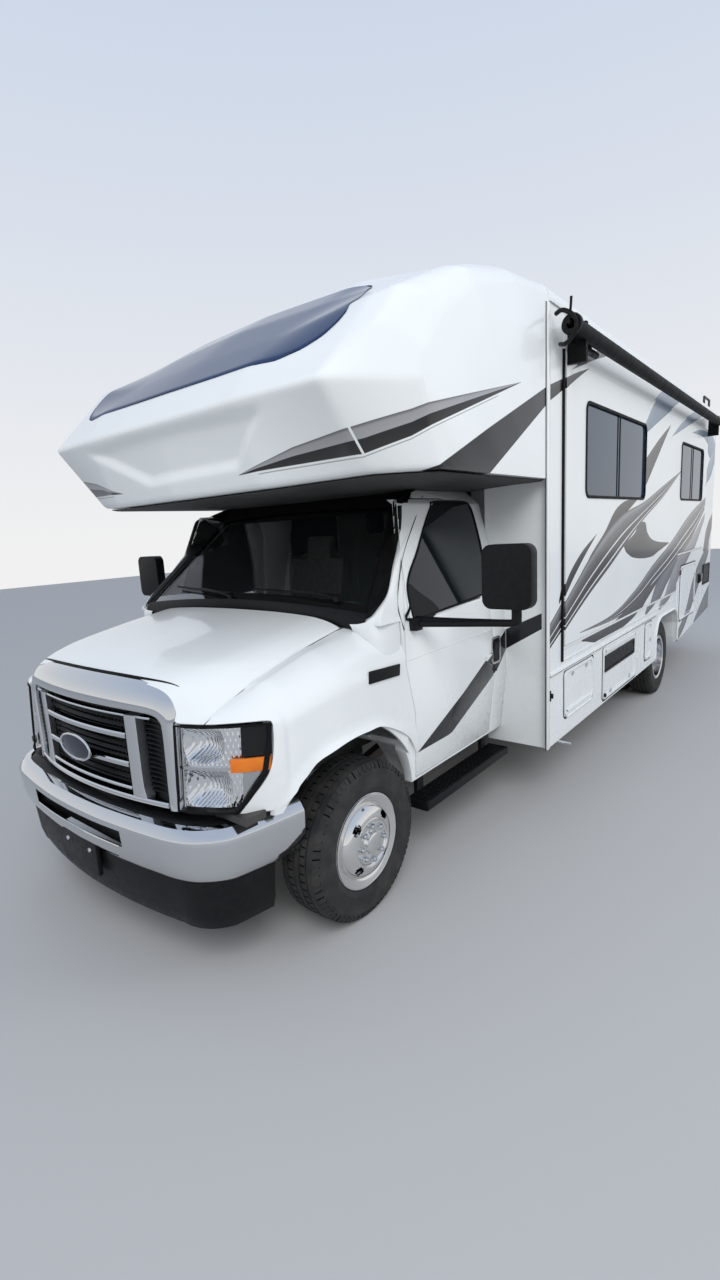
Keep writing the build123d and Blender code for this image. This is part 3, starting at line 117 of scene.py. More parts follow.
# %% Sockets that do arithmetic
class Val:
    """A number socket of a shader tree that can be added, multiplied and compared."""

    def __init__(self, finish, socket):
        self.finish, self.socket = finish, socket

    def _math(self, operation, *inputs):
        return self.finish.add("ShaderNodeMath", {"operation": operation}, *inputs)

    def __add__(self, other):
        return self._math("ADD", self, other)

    def __sub__(self, other):
        return self._math("SUBTRACT", self, other)

    def __rsub__(self, other):
        return self._math("SUBTRACT", other, self)

    def __mul__(self, other):
        return self._math("MULTIPLY", self, other)

    def __truediv__(self, other):
        return self._math("DIVIDE", self, other)

    __radd__, __rmul__ = __add__, __mul__

    def abs(self):
        return self._math("ABSOLUTE", self)

    def high(self, other):
        return self._math("MAXIMUM", self, other)

    def sine(self):
        return self._math("SINE", self)

    def step(self, start, end):
        """0 before start, 1 past end, with a smooth rise between them."""
        ranges = {"interpolation_type": "SMOOTHSTEP"}
        return self.finish.add("ShaderNodeMapRange", ranges, self, start, end, 0.0, 1.0)

    def curve(self, points, straight=False):
        """The height of a smooth line through the points, with this value as its run."""
        start, end = points[0][0], points[-1][0]
        low, high = min(z for _, z in points), max(z for _, z in points)
        rise = max(high - low, 0.001)
        node = self.finish.tree.nodes.new("ShaderNodeFloatCurve")
        line = node.mapping.curves[0]
        spots = [((y - start) / (end - start), (z - low) / rise) for y, z in points]
        line.points[0].location, line.points[1].location = spots[0], spots[-1]
        for spot in spots[1:-1]:
            line.points.new(*spot)
        for point in line.points:
            point.handle_type = "VECTOR" if straight else "AUTO_CLAMPED"
        node.mapping.update()
        self.finish.feed(node.inputs["Value"], (self - start) / (end - start))
        return Val(self.finish, node.outputs[0]) * rise + low


class Finish:
    """A material being built: its tree, its Principled shader and short ways to add nodes.

    It knows the material slot of the part that pieces with it belong to."""

    def __init__(self, name, color, rough, metal=0.0, slot="black_plastic"):
        self.slot = slot
        self.material = bpy.data.materials.new(name)
        self.material.use_nodes = True
        self.tree = self.material.node_tree
        self.shader = self.tree.nodes["Principled BSDF"]
        self.set("Base Color", color)
        self.set("Roughness", rough)
        self.set("Metallic", metal)

    def add(self, kind, settings=None, *inputs, out=0, **named):
        """Adds a node. Inputs are values or sockets, in order or by name."""
        node = self.tree.nodes.new(kind)
        for key, value in (settings or {}).items():
            setattr(node, key, value)
        for key, value in [*enumerate(inputs), *named.items()]:
            socket = node.inputs[key] if isinstance(key, int) else node.inputs[key.replace("_", " ")]
            self.feed(socket, value)
        return Val(self, node.outputs[out])

    def feed(self, socket, value):
        if isinstance(value, Val):
            self.tree.links.new(value.socket, socket)
        elif value is not None:
            if socket.type == "RGBA" and not isinstance(value, float) and len(value) == 3:
                value = (*value, 1.0)
            socket.default_value = value

    def set(self, name, value):
        self.feed(self.shader.inputs[name], value)
        return self

    def place(self):
        return self.add("ShaderNodeTexCoord", None, out=3)

    def axes(self):
        """Object coordinates as three numbers."""
        node = self.tree.nodes.new("ShaderNodeSeparateXYZ")
        self.feed(node.inputs[0], self.place())
        return [Val(self, node.outputs[i]) for i in range(3)]

    def noise(self, scale, detail=2.0, rough=0.5, stretch=None):
        where = self.place()
        if stretch:
            where = self.add("ShaderNodeMapping", None, Vector=where, Scale=stretch)
        return self.add("ShaderNodeTexNoise", None, Vector=where, Scale=scale, Detail=detail, Roughness=rough)

    def mix(self, share, first, second):
        """A colour between two colours."""
        node = self.tree.nodes.new("ShaderNodeMix")
        node.data_type = "RGBA"
        for socket, value in ((node.inputs[0], share), (node.inputs[6], first), (node.inputs[7], second)):
            self.feed(socket, value)
        return Val(self, node.outputs[2])

    def ramp(self, share, stops):
        """A colour that runs through the stops as the share goes from 0 to 1."""
        node = self.tree.nodes.new("ShaderNodeValToRGB")
        ends = node.color_ramp.elements
        ends[0].position, ends[1].position = stops[0][0], stops[-1][0]
        ends[0].color, ends[1].color = (*stops[0][1], 1), (*stops[-1][1], 1)
        for spot, color in stops[1:-1]:
            ends.new(spot).color = (*color, 1)
        self.feed(node.inputs[0], share)
        return Val(self, node.outputs[0])

    def bump(self, height, strength=0.3, distance=0.002):
        normal = self.add("ShaderNodeBump", None, Strength=strength, Distance=distance, Height=height)
        return self.set("Normal", normal)


# %% [markdown]
# Gel-coated fibreglass and van paint are both white, but they differ a little: the coach has a faint
# waviness that breaks long reflections, and both gather a film of dust low down. A clear coat gives the
# sharp reflection over the softer base. The printed film on the sides is part of the same surface, so it
# is painted in the finish: each stripe lies between two smooth lines, an upper and a lower one.

# %% Inks of the printed film
BLACK_INK = (0.012, 0.012, 0.014)
FILM = {
    "dark": [(0.0, (0.01, 0.008, 0.007)), (0.55, (0.022, 0.018, 0.017)), (1.0, (0.06, 0.052, 0.05))],
    "grey": [(0.0, (0.075, 0.072, 0.075)), (0.5, (0.15, 0.148, 0.155)), (1.0, (0.11, 0.11, 0.118))],
    "pale": [(0.0, (0.15, 0.14, 0.145)), (1.0, (0.3, 0.295, 0.31))],
    "sky": [(0.0, (0.14, 0.19, 0.26)), (0.6, (0.2, 0.26, 0.33)), (1.0, (0.27, 0.33, 0.4))],
    "bands": [(0.0, (0.055, 0.05, 0.05)), (0.11, (0.024, 0.02, 0.019)), (0.12, (0.75, 0.76, 0.76)),
              (0.16, (0.75, 0.76, 0.76)), (0.17, (0.012, 0.009, 0.008)), (0.4, (0.045, 0.034, 0.029)),
              (0.41, (0.75, 0.76, 0.76)), (0.45, (0.75, 0.76, 0.76)), (0.46, (0.03, 0.026, 0.026)),
              (0.75, (0.12, 0.118, 0.12)), (0.9, (0.24, 0.24, 0.245)), (1.0, (0.07, 0.068, 0.07))],
    "dart": [(0.0, (0.03, 0.028, 0.028)), (0.5, (0.018, 0.017, 0.018)), (0.52, (0.34, 0.34, 0.35)),
             (0.86, (0.3, 0.3, 0.305)), (1.0, (0.09, 0.09, 0.092))],
}
EDGE = 0.0012


def stripe_mask(height, upper, lower):
    """1 between two lines and 0 outside them, with a crisp edge."""
    return (height - lower).step(-EDGE, EDGE) * (upper - height).step(-EDGE, EDGE)


# %% [markdown]
# The stripes of the coach side, as (distance behind the front axle, height) points in metres. A stripe
# begins and ends where its two lines meet.

# %% Stripes of the coach side
SIDE_STRIPES = [
    ("dark", [(1.43, 2.508), (1.588, 2.558), (1.818, 2.632), (2.043, 2.693)],
     [(1.43, 2.423), (1.571, 2.481), (1.767, 2.573), (2.043, 2.691)]),
    ("grey", [(1.734, 2.636), (2.033, 2.76), (2.4, 2.89), (2.53, 2.93)],
     [(1.734, 2.634), (2.166, 2.764), (2.53, 2.863)]),
    ("sky", [(3.42, 2.5), (3.75, 2.72), (4.16, 2.87), (4.81, 2.93)],
     [(3.42, 2.42), (4.07, 2.63), (4.81, 2.86)]),
    ("dark", [(3.5, 2.245), (3.87, 2.41), (4.34, 2.592)], [(3.5, 2.02), (3.81, 2.23), (4.34, 2.588)]),
    ("sky", [(4.4, 2.492), (4.8, 2.65), (5.65, 2.87), (6.02, 2.93)],
     [(4.4, 2.488), (5.22, 2.68), (6.02, 2.85)]),
    ("sky", [(5.35, 2.615), (5.95, 2.69), (6.52, 2.7), (6.9, 2.62)],
     [(5.35, 2.61), (5.84, 2.62), (6.27, 2.56), (6.5, 2.44), (6.9, 2.36)]),
    ("sky", [(6.25, 2.12), (6.45, 2.34), (6.9, 2.57)], [(6.25, 2.08), (6.66, 2.21), (6.9, 2.4)]),
    ("dark", [(1.93, 1.39), (2.08, 1.51), (2.4, 1.67), (2.75, 1.86), (3.23, 1.93)],
     [(1.93, 1.37), (2.22, 1.54), (2.6, 1.69), (3.23, 1.9)]),
    ("bands", [(1.45, 1.17), (1.88, 1.4), (2.13, 1.53), (2.84, 1.79), (3.45, 1.89), (4.08, 2.03),
               (4.85, 2.2)],
     [(1.45, 1.02), (2.09, 1.27), (2.57, 1.435), (2.94, 1.57), (3.47, 1.75), (4.1, 1.93), (4.85, 2.19)]),
    ("dark", [(1.6, 1.3), (1.66, 1.39), (1.91, 1.55), (2.24, 1.672)],
     [(1.6, 1.27), (1.72, 1.36), (1.92, 1.49), (2.24, 1.668)]),
    ("grey", [(3.68, 0.93), (4.08, 1.22), (4.87, 1.47), (6.24, 1.86)],
     [(3.68, 0.9), (4.04, 0.97), (4.49, 1.15), (5.16, 1.36), (6.24, 1.81)]),
    ("pale", [(4.2, 0.93), (4.76, 1.28), (5.48, 1.49), (6.28, 1.78)],
     [(4.2, 0.88), (4.6, 0.94), (5.1, 1.14), (5.75, 1.4), (6.28, 1.71)]),
    ("bands", [(1.93, 1.045), (2.59, 1.062), (3.16, 1.16), (3.85, 1.35), (4.43, 1.49), (5.42, 1.78),
               (6.33, 1.97)],
     [(1.93, 1.04), (2.65, 1.02), (3.24, 1.05), (3.96, 1.18), (4.89, 1.38), (5.7, 1.6), (6.33, 1.9)]),
    ("dark", [(2.02, 0.975), (2.44, 0.98), (2.99, 1.05), (3.65, 1.15), (4.14, 1.225)],
     [(2.02, 0.965), (2.49, 0.9), (3.19, 0.93), (3.66, 1.06), (4.14, 1.215)]),
    ("dark", [(2.89, 1.562), (3.18, 1.64), (3.47, 1.73), (3.59, 1.64), (3.83, 1.56), (4.43, 1.512)],
     [(2.89, 1.555), (3.01, 1.49), (3.27, 1.44), (3.69, 1.42), (4.0, 1.45), (4.43, 1.508)]),
    ("grey", [(4.99, 0.5), (5.42, 0.68), (5.89, 1.07), (6.39, 1.29), (6.78, 1.42)],
     [(4.99, 0.4), (5.39, 0.51), (5.78, 0.7), (6.26, 0.96), (6.78, 1.27)]),
    ("dark", [(6.39, 1.33), (6.54, 1.57), (6.93, 1.78)], [(6.39, 1.31), (6.6, 1.33), (6.93, 1.58)]),
    ("grey", [(5.98, 0.52), (6.8, 0.82), (6.93, 0.86)], [(5.98, 0.49), (6.87, 0.5), (6.93, 0.5)]),
]


def film(finish, base, run, height, kind, upper, lower, straight=False):
    """Lays one stripe of printed film over a colour."""
    start, end = upper[0][0], upper[-1][0]
    top, bottom = run.curve(upper, straight), run.curve(lower, straight)
    inside = stripe_mask(height, top, bottom)
    inside = inside * run.step(start - EDGE, start + EDGE) * (1 - run.step(end - EDGE, end + EDGE))
    across = (height - bottom) / (top - bottom).high(0.004)
    return finish.mix(inside, base, finish.ramp(across, FILM[kind]))


# %% Paint and fibreglass
WHITE = (0.78, 0.8, 0.79)
DUST = (0.42, 0.39, 0.34)
DUST_FADES_FROM, DUST_ENDS_AT, DUST_SHARE = 0.35, 1.25, 0.016


def white_finish(name, wave, coat=0.2, printed=None):
    paint = Finish(name, WHITE, 0.28, slot="body_white")
    x, y, z = paint.axes()
    dusty = (1 - z.step(DUST_FADES_FROM, DUST_ENDS_AT)) * paint.noise(7.0, 5.0, 0.65).step(0.42, 0.72)
    mottle = paint.noise(1.3, 3.0)
    color = paint.mix(mottle.step(0.3, 0.7), WHITE, tuple(c * 0.965 for c in WHITE))
    if printed:
        color = printed(paint, color, x, y - AXLE_Y, z)
    paint.set("Base Color", paint.mix(dusty * DUST_SHARE, color, DUST))
    paint.set("Roughness", 0.26 + dusty * 0.1)
    paint.set("Coat Weight", coat)
    paint.set("Specular IOR Level", 0.3)
    paint.set("Coat Roughness", 0.06)
    return paint.bump(paint.noise(2.4, 2.0), 0.25, wave)


def side_print(paint, color, x, run, z):
    """All the stripes of the coach side, on the outer faces alone."""
    plain = color
    for stripe in SIDE_STRIPES:
        color = film(paint, color, run, z, *stripe)
    return paint.mix(x.abs().step(COACH_HALF - 0.006, COACH_HALF - 0.004), plain, color)


DOOR_STRIPE = ([(0.41, 0.636), (1.235, 1.023), (1.45, 1.14)],
               [(0.41, 0.6), (0.789, 0.655), (1.319, 0.912), (1.45, 1.02)])
CORNER_STRIPE = ([(1.0, 1.13), (1.27, 1.258)], [(1.0, 1.007), (1.27, 1.168)])


def door_print(paint, color, x, run, z):
    """The black stripe that climbs the cab door."""
    upper, lower = run.curve(DOOR_STRIPE[0], True), run.curve(DOOR_STRIPE[1], True)
    inside = stripe_mask(z, upper, lower) * z.step(0.648, 0.65)
    inside = inside * run.step(0.409, 0.411) * x.abs().step(0.93, 0.935)
    return paint.mix(inside, color, BLACK_INK)


def corner_print(paint, color, x, run, z):
    """The same stripe going on over the coach's front corner."""
    upper, lower = x.abs().curve(CORNER_STRIPE[0], True), x.abs().curve(CORNER_STRIPE[1], True)
    inside = stripe_mask(z, upper, lower) * x.abs().step(1.0, 1.002)
    return paint.mix(inside, color, BLACK_INK)


CAP_BAND = ([(0.2, 2.003), (0.7, 2.213), (1.43, 2.508)], [(0.2, 1.95), (0.7, 2.006), (1.43, 2.42)])
CAP_DART = ([(0.483, 2.048), (0.824, 2.127), (1.147, 2.173), (1.499, 2.236), (1.897, 2.331), (2.484, 2.469)],
            [(0.483, 2.045), (0.696, 2.055), (1.222, 2.076), (1.5, 2.137), (1.894, 2.269), (2.484, 2.467)])


def cap_print(paint, color, x, run, z):
    """The dart that wraps round the cap's corner, and the black band rising to the coach."""
    around = x.abs() + run + 0.15
    dart = film(paint, color, around, z, "dart", *CAP_DART, straight=True)
    split = (around - 1.138 - (2.174 - z) * 0.857).abs()
    color = paint.mix(split.step(0.007, 0.009), color, dart)
    under = around.curve(CAP_DART[1], True) - z
    thread = under.step(0.008, 0.009) * (1 - under.step(0.013, 0.014))
    thread = thread * around.step(0.6, 0.62) * (1 - around.step(2.2, 2.25))
    color = paint.mix(thread * 0.6, color, (0.12, 0.12, 0.12))
    upper, lower = run.curve(CAP_BAND[0], True), run.curve(CAP_BAND[1], True)
    band = stripe_mask(z, upper, lower) * run.step(0.2, 0.202) * (1 - run.step(1.409, 1.411))
    return paint.mix(band * x.abs().step(1.2, 1.21), color, BLACK_INK)


coach_white = white_finish("coach_gelcoat", 0.01)
coach_film = white_finish("coach_gelcoat_film", 0.01, printed=side_print)
cap_white = white_finish("cap_gelcoat", 0.004, 0.35, printed=cap_print)
corner_white = white_finish("corner_gelcoat", 0.006, printed=corner_print)
van_white = white_finish("van_paint", 0.0015, 0.5)
door_white = white_finish("van_door_paint", 0.0015, 0.35, printed=door_print)

# %% [markdown]
# Bright metal is a single reflecting surface with a little smear. Castings, plastic, rubber and cloth
# are each two close tones with a grain at the real thing's scale.

# %% Chrome, castings, plastic, rubber and cloth


def chrome_finish(name, color, rough, slot="chrome_trim"):
    bright = Finish(name, color, rough, 1.0, slot)
    smear = bright.noise(9.0, 6.0, 0.7).step(0.35, 0.8)
    return bright.set("Roughness", rough + smear * 0.07)


chrome = chrome_finish("bright_chrome", (0.66, 0.67, 0.68), 0.05)
steel = chrome_finish("polished_steel", (0.72, 0.73, 0.75), 0.1, "wheel_steel")
mirror_face = chrome_finish("mirror_glass", (0.86, 0.88, 0.88), 0.01)


def coarse_finish(name, color, other, rough, scale, depth, metal=0.0):
    """A finish of two blended tones with a fine grain, as on castings and grained plastic."""
    grain = Finish(name, color, rough, metal)
    patches = grain.noise(scale * 0.08, 4.0, 0.6).step(0.35, 0.7)
    grain.set("Base Color", grain.mix(patches, color, other))
    grain.set("Roughness", rough + patches * 0.12)
    return grain.bump(grain.noise(scale, 3.0, 0.6), 0.35, depth)


frame_black = coarse_finish("chassis_black", (0.022, 0.022, 0.023), (0.06, 0.055, 0.05), 0.42, 90.0, 0.0008)
cast_iron = coarse_finish("cast_iron", (0.1, 0.095, 0.09), (0.17, 0.12, 0.085), 0.62, 60.0, 0.0012, 0.6)
plastic = coarse_finish("black_plastic", (0.005, 0.005, 0.006), (0.009, 0.009, 0.009), 0.4, 420.0, 0.0002)
plastic.set("Specular IOR Level", 0.2)
seal_black = coarse_finish("rubber_seal", (0.004, 0.004, 0.004), (0.008, 0.008, 0.008), 0.55, 200.0, 0.0003)
seal_black.set("Specular IOR Level", 0.16)
rubber = coarse_finish("tyre_rubber", (0.018, 0.018, 0.018), (0.04, 0.038, 0.035), 0.78, 150.0, 0.0006)
cloth = coarse_finish("seat_cloth", (0.1, 0.098, 0.095), (0.15, 0.145, 0.14), 0.85, 600.0, 0.0004)
timber = coarse_finish("floor_board", (0.4, 0.33, 0.26), (0.32, 0.26, 0.2), 0.55, 30.0, 0.0006)
roof_plastic = coarse_finish("roof_plastic", (0.74, 0.75, 0.74), (0.72, 0.725, 0.715), 0.4, 300.0, 0.0001)
amber = coarse_finish("amber_lens", (0.85, 0.17, 0.004), (0.9, 0.26, 0.01), 0.12, 220.0, 0.0005)
rubber.slot, amber.slot = "tyre_rubber", "lamp_red"

# %% [markdown]
# Coach windows are dark tinted, cab windows are clearer. The glass bodies are real panes, so light
# passes twice; a see-through tint with a clear gloss keeps the render quick and the view inside.

# %% Glass and lenses


def glass_finish(name, tint, clear):
    """Glass as a tinted gloss that lets a share of the light straight through."""
    glass = Finish(name, tint, 0.03, slot="tinted_glass")
    glass.set("Alpha", 1.0 - clear)
    glass.set("Coat Weight", 1.0)
    glass.set("Coat Roughness", 0.02)
    glass.set("Specular IOR Level", 0.8)
    return glass


coach_glass = glass_finish("coach_window_tint", (0.02, 0.042, 0.075), 0.0)
coach_glass.set("Coat Weight", 0.0)
coach_glass.set("Specular IOR Level", 0.42)
door_glass = glass_finish("cab_door_tint", (0.008, 0.011, 0.012), 0.0)
door_glass.set("Coat Weight", 0.0)
door_glass.set("Specular IOR Level", 0.45)
cab_glass = glass_finish("cab_window_glass", (0.02, 0.026, 0.026), 0.8)
red_lens = glass_finish("red_lens", (0.45, 0.01, 0.012), 0.15)
red_lens.slot = "lamp_red"
clear_lens = glass_finish("clear_lens", (0.03, 0.03, 0.03), 0.9)

# %% [markdown]
# Every added piece is built by the same few moves: rings of points joined by faces, an outline pushed
# along an axis, a profile turned round an axle, or a round bar along a path. A small class collects them
# in one mesh, so that a piece is told by its points alone.


# %% Building meshes
WELD = 1e-5


class Shape:
    """A mesh under construction, in metres, in the frame of the vehicle."""

    def __init__(self):
        self.bm = bmesh.new()

    def skin(self, rows, closed=True, caps=True, wrap=False):
        """Joins rows of points with faces; wrap joins the last row to the first."""
        rings = [[self.bm.verts.new(point) for point in row] for row in rows]
        count = len(rows[0])
        pairs = list(zip(rings, rings[1:])) + ([(rings[-1], rings[0])] if wrap else [])
        for low, high in pairs:
            for i in range(count if closed else count - 1):
                j = (i + 1) % count
                self.bm.faces.new((low[i], low[j], high[j], high[i]))
        if caps and closed and not wrap:
            self.bm.faces.new(rings[0][::-1])
            self.bm.faces.new(rings[-1])
        return self

    def prism(self, outline, axis, start, end):
        """An outline pushed along an axis."""
        return self.skin([[on_axis(axis, t, a, b) for a, b in outline] for t in (start, end)])

    def ring(self, outer, inner, axis, start, end):
        """A frame between two outlines with the same number of points."""
        rows = [(outer, start), (outer, end), (inner, end), (inner, start)]
        return self.skin([[on_axis(axis, t, a, b) for a, b in line] for line, t in rows], wrap=True)

    def box(self, x0, x1, y0, y1, z0, z1):
        return self.prism([(y0, z0), (y1, z0), (y1, z1), (y0, z1)], "X", x0, x1)

    def lathe(self, profile, centre, axis="X", steps=48):
        """Turns a closed loop of (along, radius) points round an axis through a centre."""
        rows = []
        for i in range(steps):
            turn = 2 * pi * i / steps
            row = [Vector(on_axis(axis, along, r * cos(turn), r * sin(turn))) for along, r in profile]
            rows.append([point + Vector(centre) for point in row])
        return self.skin(rows, wrap=True)

    def bar(self, path, radius, sides=10, closed=False):
        """A round bar along a path of points."""
        points = [Vector(p) for p in path]
        count = len(points)
        rows, side = [], None
        for i, point in enumerate(points):
            before = points[(i - 1) % count] if closed or i else point
            after = points[(i + 1) % count] if closed or i < count - 1 else point
            along = (after - before).normalized()
            side = side or along.orthogonal()
            side = (side - side.dot(along) * along).normalized()
            up = along.cross(side)
            rows.append([point + radius * (cos(2 * pi * k / sides) * side + sin(2 * pi * k / sides) * up)
                         for k in range(sides)])
        return self.skin(rows, caps=not closed, wrap=closed)

    def sheet(self, rows, thick, hole=lambda i, j: False):
        """A panel through rows of points, with its openings left out, then given a thickness."""
        grid = [[self.bm.verts.new(point) for point in row] for row in rows]
        for i in range(len(rows) - 1):
            for j in range(len(rows[0]) - 1):
                if not hole(i, j):
                    self.bm.faces.new((grid[i][j], grid[i][j + 1], grid[i + 1][j + 1], grid[i + 1][j]))
        loose = [v for v in self.bm.verts if not v.link_faces]
        bmesh.ops.delete(self.bm, geom=loose, context="VERTS")
        bmesh.ops.remove_doubles(self.bm, verts=self.bm.verts, dist=WELD)
        bmesh.ops.recalc_face_normals(self.bm, faces=self.bm.faces)
        bmesh.ops.solidify(self.bm, geom=self.bm.faces[:], thickness=thick)
        return self

    def mirrored(self):
        """Adds the same mesh on the other side of the vehicle."""
        both = bmesh.ops.duplicate(self.bm, geom=self.bm.verts[:] + self.bm.edges[:] + self.bm.faces[:])
        twins = [item for item in both["geom"] if isinstance(item, bmesh.types.BMVert)]
        for vertex in twins:
            vertex.co.x *= -1
        return self


def on_axis(axis, along, a, b):
    """A point from its place along an axis and its two other coordinates in order."""
    return {"X": (along, a, b), "Y": (a, along, b), "Z": (a, b, along)}[axis]


def smooth_line(points, per=6, closed=False):
    """Points on a smooth line through the given ones."""
    pts = [Vector(p) for p in points]
    count = len(pts)
    line = []
    for i in range(count if closed else count - 1):
        near = [(i + k) % count if closed else min(max(i + k, 0), count - 1) for k in (-1, 0, 1, 2)]
        a, b, c, d = (pts[k] for k in near)
        for k in range(per):
            t = k / per
            line.append(0.5 * ((2 * b) + (c - a) * t + (2 * a - 5 * b + 4 * c - d) * t * t
                               + (3 * b - a - 3 * c + d) * t ** 3))
    return line if closed else line + [pts[-1]]


def smooth_path(points, per=6):
    """A smooth line through points that are given with their station."""
    return smooth_line([at(*point) for point in points], per)


def flipped(points):
    """The points of a line on the other side of the vehicle, in the opposite order."""
    return [Vector((-p.x, p.y, p.z)) for p in reversed(points)]


def rounded_box(a0, a1, b0, b1, radius, steps=6):
    """A rectangle with round corners, as a list of points."""
    points = []
    for ca, cb, start in ((a1, b1, 0), (a0, b1, 1), (a0, b0, 2), (a1, b0, 3)):
        sa, sb = (1 if ca == a1 else -1), (1 if cb == b1 else -1)
        for k in range(steps + 1):
            turn = pi / 2 * (start + k / steps)
            points.append((ca - sa * radius + radius * cos(turn), cb - sb * radius + radius * sin(turn)))
    return points


def sided(shape, side):
    """The same shape, or its mirror image for the right side."""
    if side < 0:
        for vertex in shape.bm.verts:
            vertex.co.x *= -1
        bmesh.ops.reverse_faces(shape.bm, faces=shape.bm.faces)
    return shape


# %% Placing pieces
PIECES = {}
NODE_SLOT = ""  # passed to place() as the slot of a node's copy; place() does not read it
BODY_OF = {node: body for body, nodes in frame["record"]["behaviour"]["bodies"].items() for node in nodes}
BEVEL_FROM, FLAT_WITHIN = radians(28), radians(0.6)


def place(name, shape, finish, body="vehicle", bevel=0.0, segments=2, sharp=34, replaces=(), slot=None):
    """Turns a shape into a finished piece that rides on a body. Its slot argument is not used."""
    bmesh.ops.remove_doubles(shape.bm, verts=shape.bm.verts, dist=WELD)
    bmesh.ops.recalc_face_normals(shape.bm, faces=shape.bm.faces)
    mesh = bpy.data.meshes.new(name)
    shape.bm.to_mesh(mesh)
    shape.bm.free()
    piece = bpy.data.objects.new(name, mesh)
    bpy.context.scene.collection.objects.link(piece)
    if bevel:
        edge = piece.modifiers.new("edge", "BEVEL")
        edge.width, edge.segments, edge.limit_method = bevel, segments, "ANGLE"
        edge.angle_limit = BEVEL_FROM
        bake_modifiers(piece)
    mesh = piece.data
    mesh.materials.clear()
    mesh.materials.append(finish.material)
    for face in mesh.polygons:
        face.use_smooth = True
        face.material_index = 0
    mesh.set_sharp_from_angle(angle=radians(sharp))
    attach(piece, body)
    if replaces:
        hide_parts(*replaces)
    PIECES[piece.name] = len(mesh.polygons)
    return piece


def bake_modifiers(piece):
    """Turns a piece with its modifiers into a plain mesh."""
    seen = piece.evaluated_get(bpy.context.evaluated_depsgraph_get())
    plain = bpy.data.meshes.new_from_object(seen)
    piece.modifiers.clear()
    piece.data = plain


def softened(node, bevel, finish=None, keep=None, name=None):
    """A copy of a frame node with merged faces and rounded edges, standing for the node."""
    shape = Shape()
    shape.bm.from_mesh(frame["nodes"][node].data)
    bmesh.ops.remove_doubles(shape.bm, verts=shape.bm.verts, dist=WELD)
    if keep:
        gone = [v for v in shape.bm.verts if not keep(v.co)]
        bmesh.ops.delete(shape.bm, geom=gone, context="VERTS")
    bmesh.ops.dissolve_limit(shape.bm, angle_limit=FLAT_WITHIN, verts=shape.bm.verts, edges=shape.bm.edges)
    return place(name or node + "_dressed", shape, finish or NODE_FINISH[node], BODY_OF[node], bevel,
                 3 if bevel > 0.01 else 2, replaces=[node], slot=NODE_SLOT)


# %% [markdown]
# Much of a vehicle's trim repeats: nuts round a hub, ribs on a step, slots in a louvre. One Geometry
# Nodes tree does them all. It puts copies of a motif on a line of points, turning each a little more
# than the last, so a step makes a row and a turn makes a wheel.


# %% A tree that repeats a motif
def repeat_tree():
    tree = bpy.data.node_groups.new("repeat_motif", "GeometryNodeTree")
    sockets = {"Geometry": "NodeSocketGeometry", "Count": "NodeSocketInt", "Start": "NodeSocketVector",
               "Step": "NodeSocketVector", "Turn": "NodeSocketVector", "Material": "NodeSocketMaterial"}
    for label, kind in sockets.items():
        tree.interface.new_socket(label, in_out="INPUT", socket_type=kind)
    tree.interface.new_socket("Geometry", in_out="OUTPUT", socket_type="NodeSocketGeometry")
    given = tree.nodes.new("NodeGroupInput").outputs

    def add(kind, **links):
        node = tree.nodes.new(kind)
        for socket, source in links.items():
            tree.links.new(source, node.inputs[socket.replace("_", " ")])
        return node

    line = add("GeometryNodeMeshLine", Count=given["Count"], Start_Location=given["Start"],
               Offset=given["Step"])
    turn = add("ShaderNodeVectorMath")
    turn.operation = "SCALE"
    tree.links.new(given["Turn"], turn.inputs[0])
    tree.links.new(add("GeometryNodeInputIndex").outputs[0], turn.inputs["Scale"])
    copies = add("GeometryNodeInstanceOnPoints", Points=line.outputs[0], Instance=given["Geometry"],
                 Rotation=turn.outputs[0])
    solid = add("GeometryNodeRealizeInstances", Geometry=copies.outputs[0])
    painted = add("GeometryNodeSetMaterial", Geometry=solid.outputs[0], Material=given["Material"])
    tree.links.new(painted.outputs[0], tree.nodes.new("NodeGroupOutput").inputs[0])
    return tree


REPEAT = repeat_tree()


def repeated(shape, count, start=(0, 0, 0), step=(0, 0, 0), turn=(0, 0, 0)):
    """Copies of a motif, as a new shape. The motif is built round the world's origin."""
    bmesh.ops.recalc_face_normals(shape.bm, faces=shape.bm.faces)
    mesh = bpy.data.meshes.new("motif")
    shape.bm.to_mesh(mesh)
    shape.bm.free()
    holder = bpy.data.objects.new("motif", mesh)
    bpy.context.scene.collection.objects.link(holder)
    modifier = holder.modifiers.new("repeat", "NODES")
    modifier.node_group = REPEAT
    values = {"Count": count, "Start": start, "Step": step, "Turn": turn, "Material": plastic.material}
    for item in REPEAT.interface.items_tree:
        if item.in_out == "INPUT" and item.name in values:
            modifier[item.identifier] = values[item.name]
    bake_modifiers(holder)
    made = Shape()
    made.bm.from_mesh(holder.data)
    bpy.data.objects.remove(holder)
    return made


def round_axle(shape, count, x, y):
    """Copies of a motif evenly round the axle of a wheel."""
    return repeated(shape, count, (x, y, TYRE_R), turn=(2 * pi / count, 0, 0))


def joined(*shapes):
    """Several shapes as one."""
    whole = Shape()
    for shape in shapes:
        mesh = bpy.data.meshes.new("part")
        shape.bm.to_mesh(mesh)
        shape.bm.free()
        whole.bm.from_mesh(mesh)
        bpy.data.meshes.remove(mesh)
    return whole


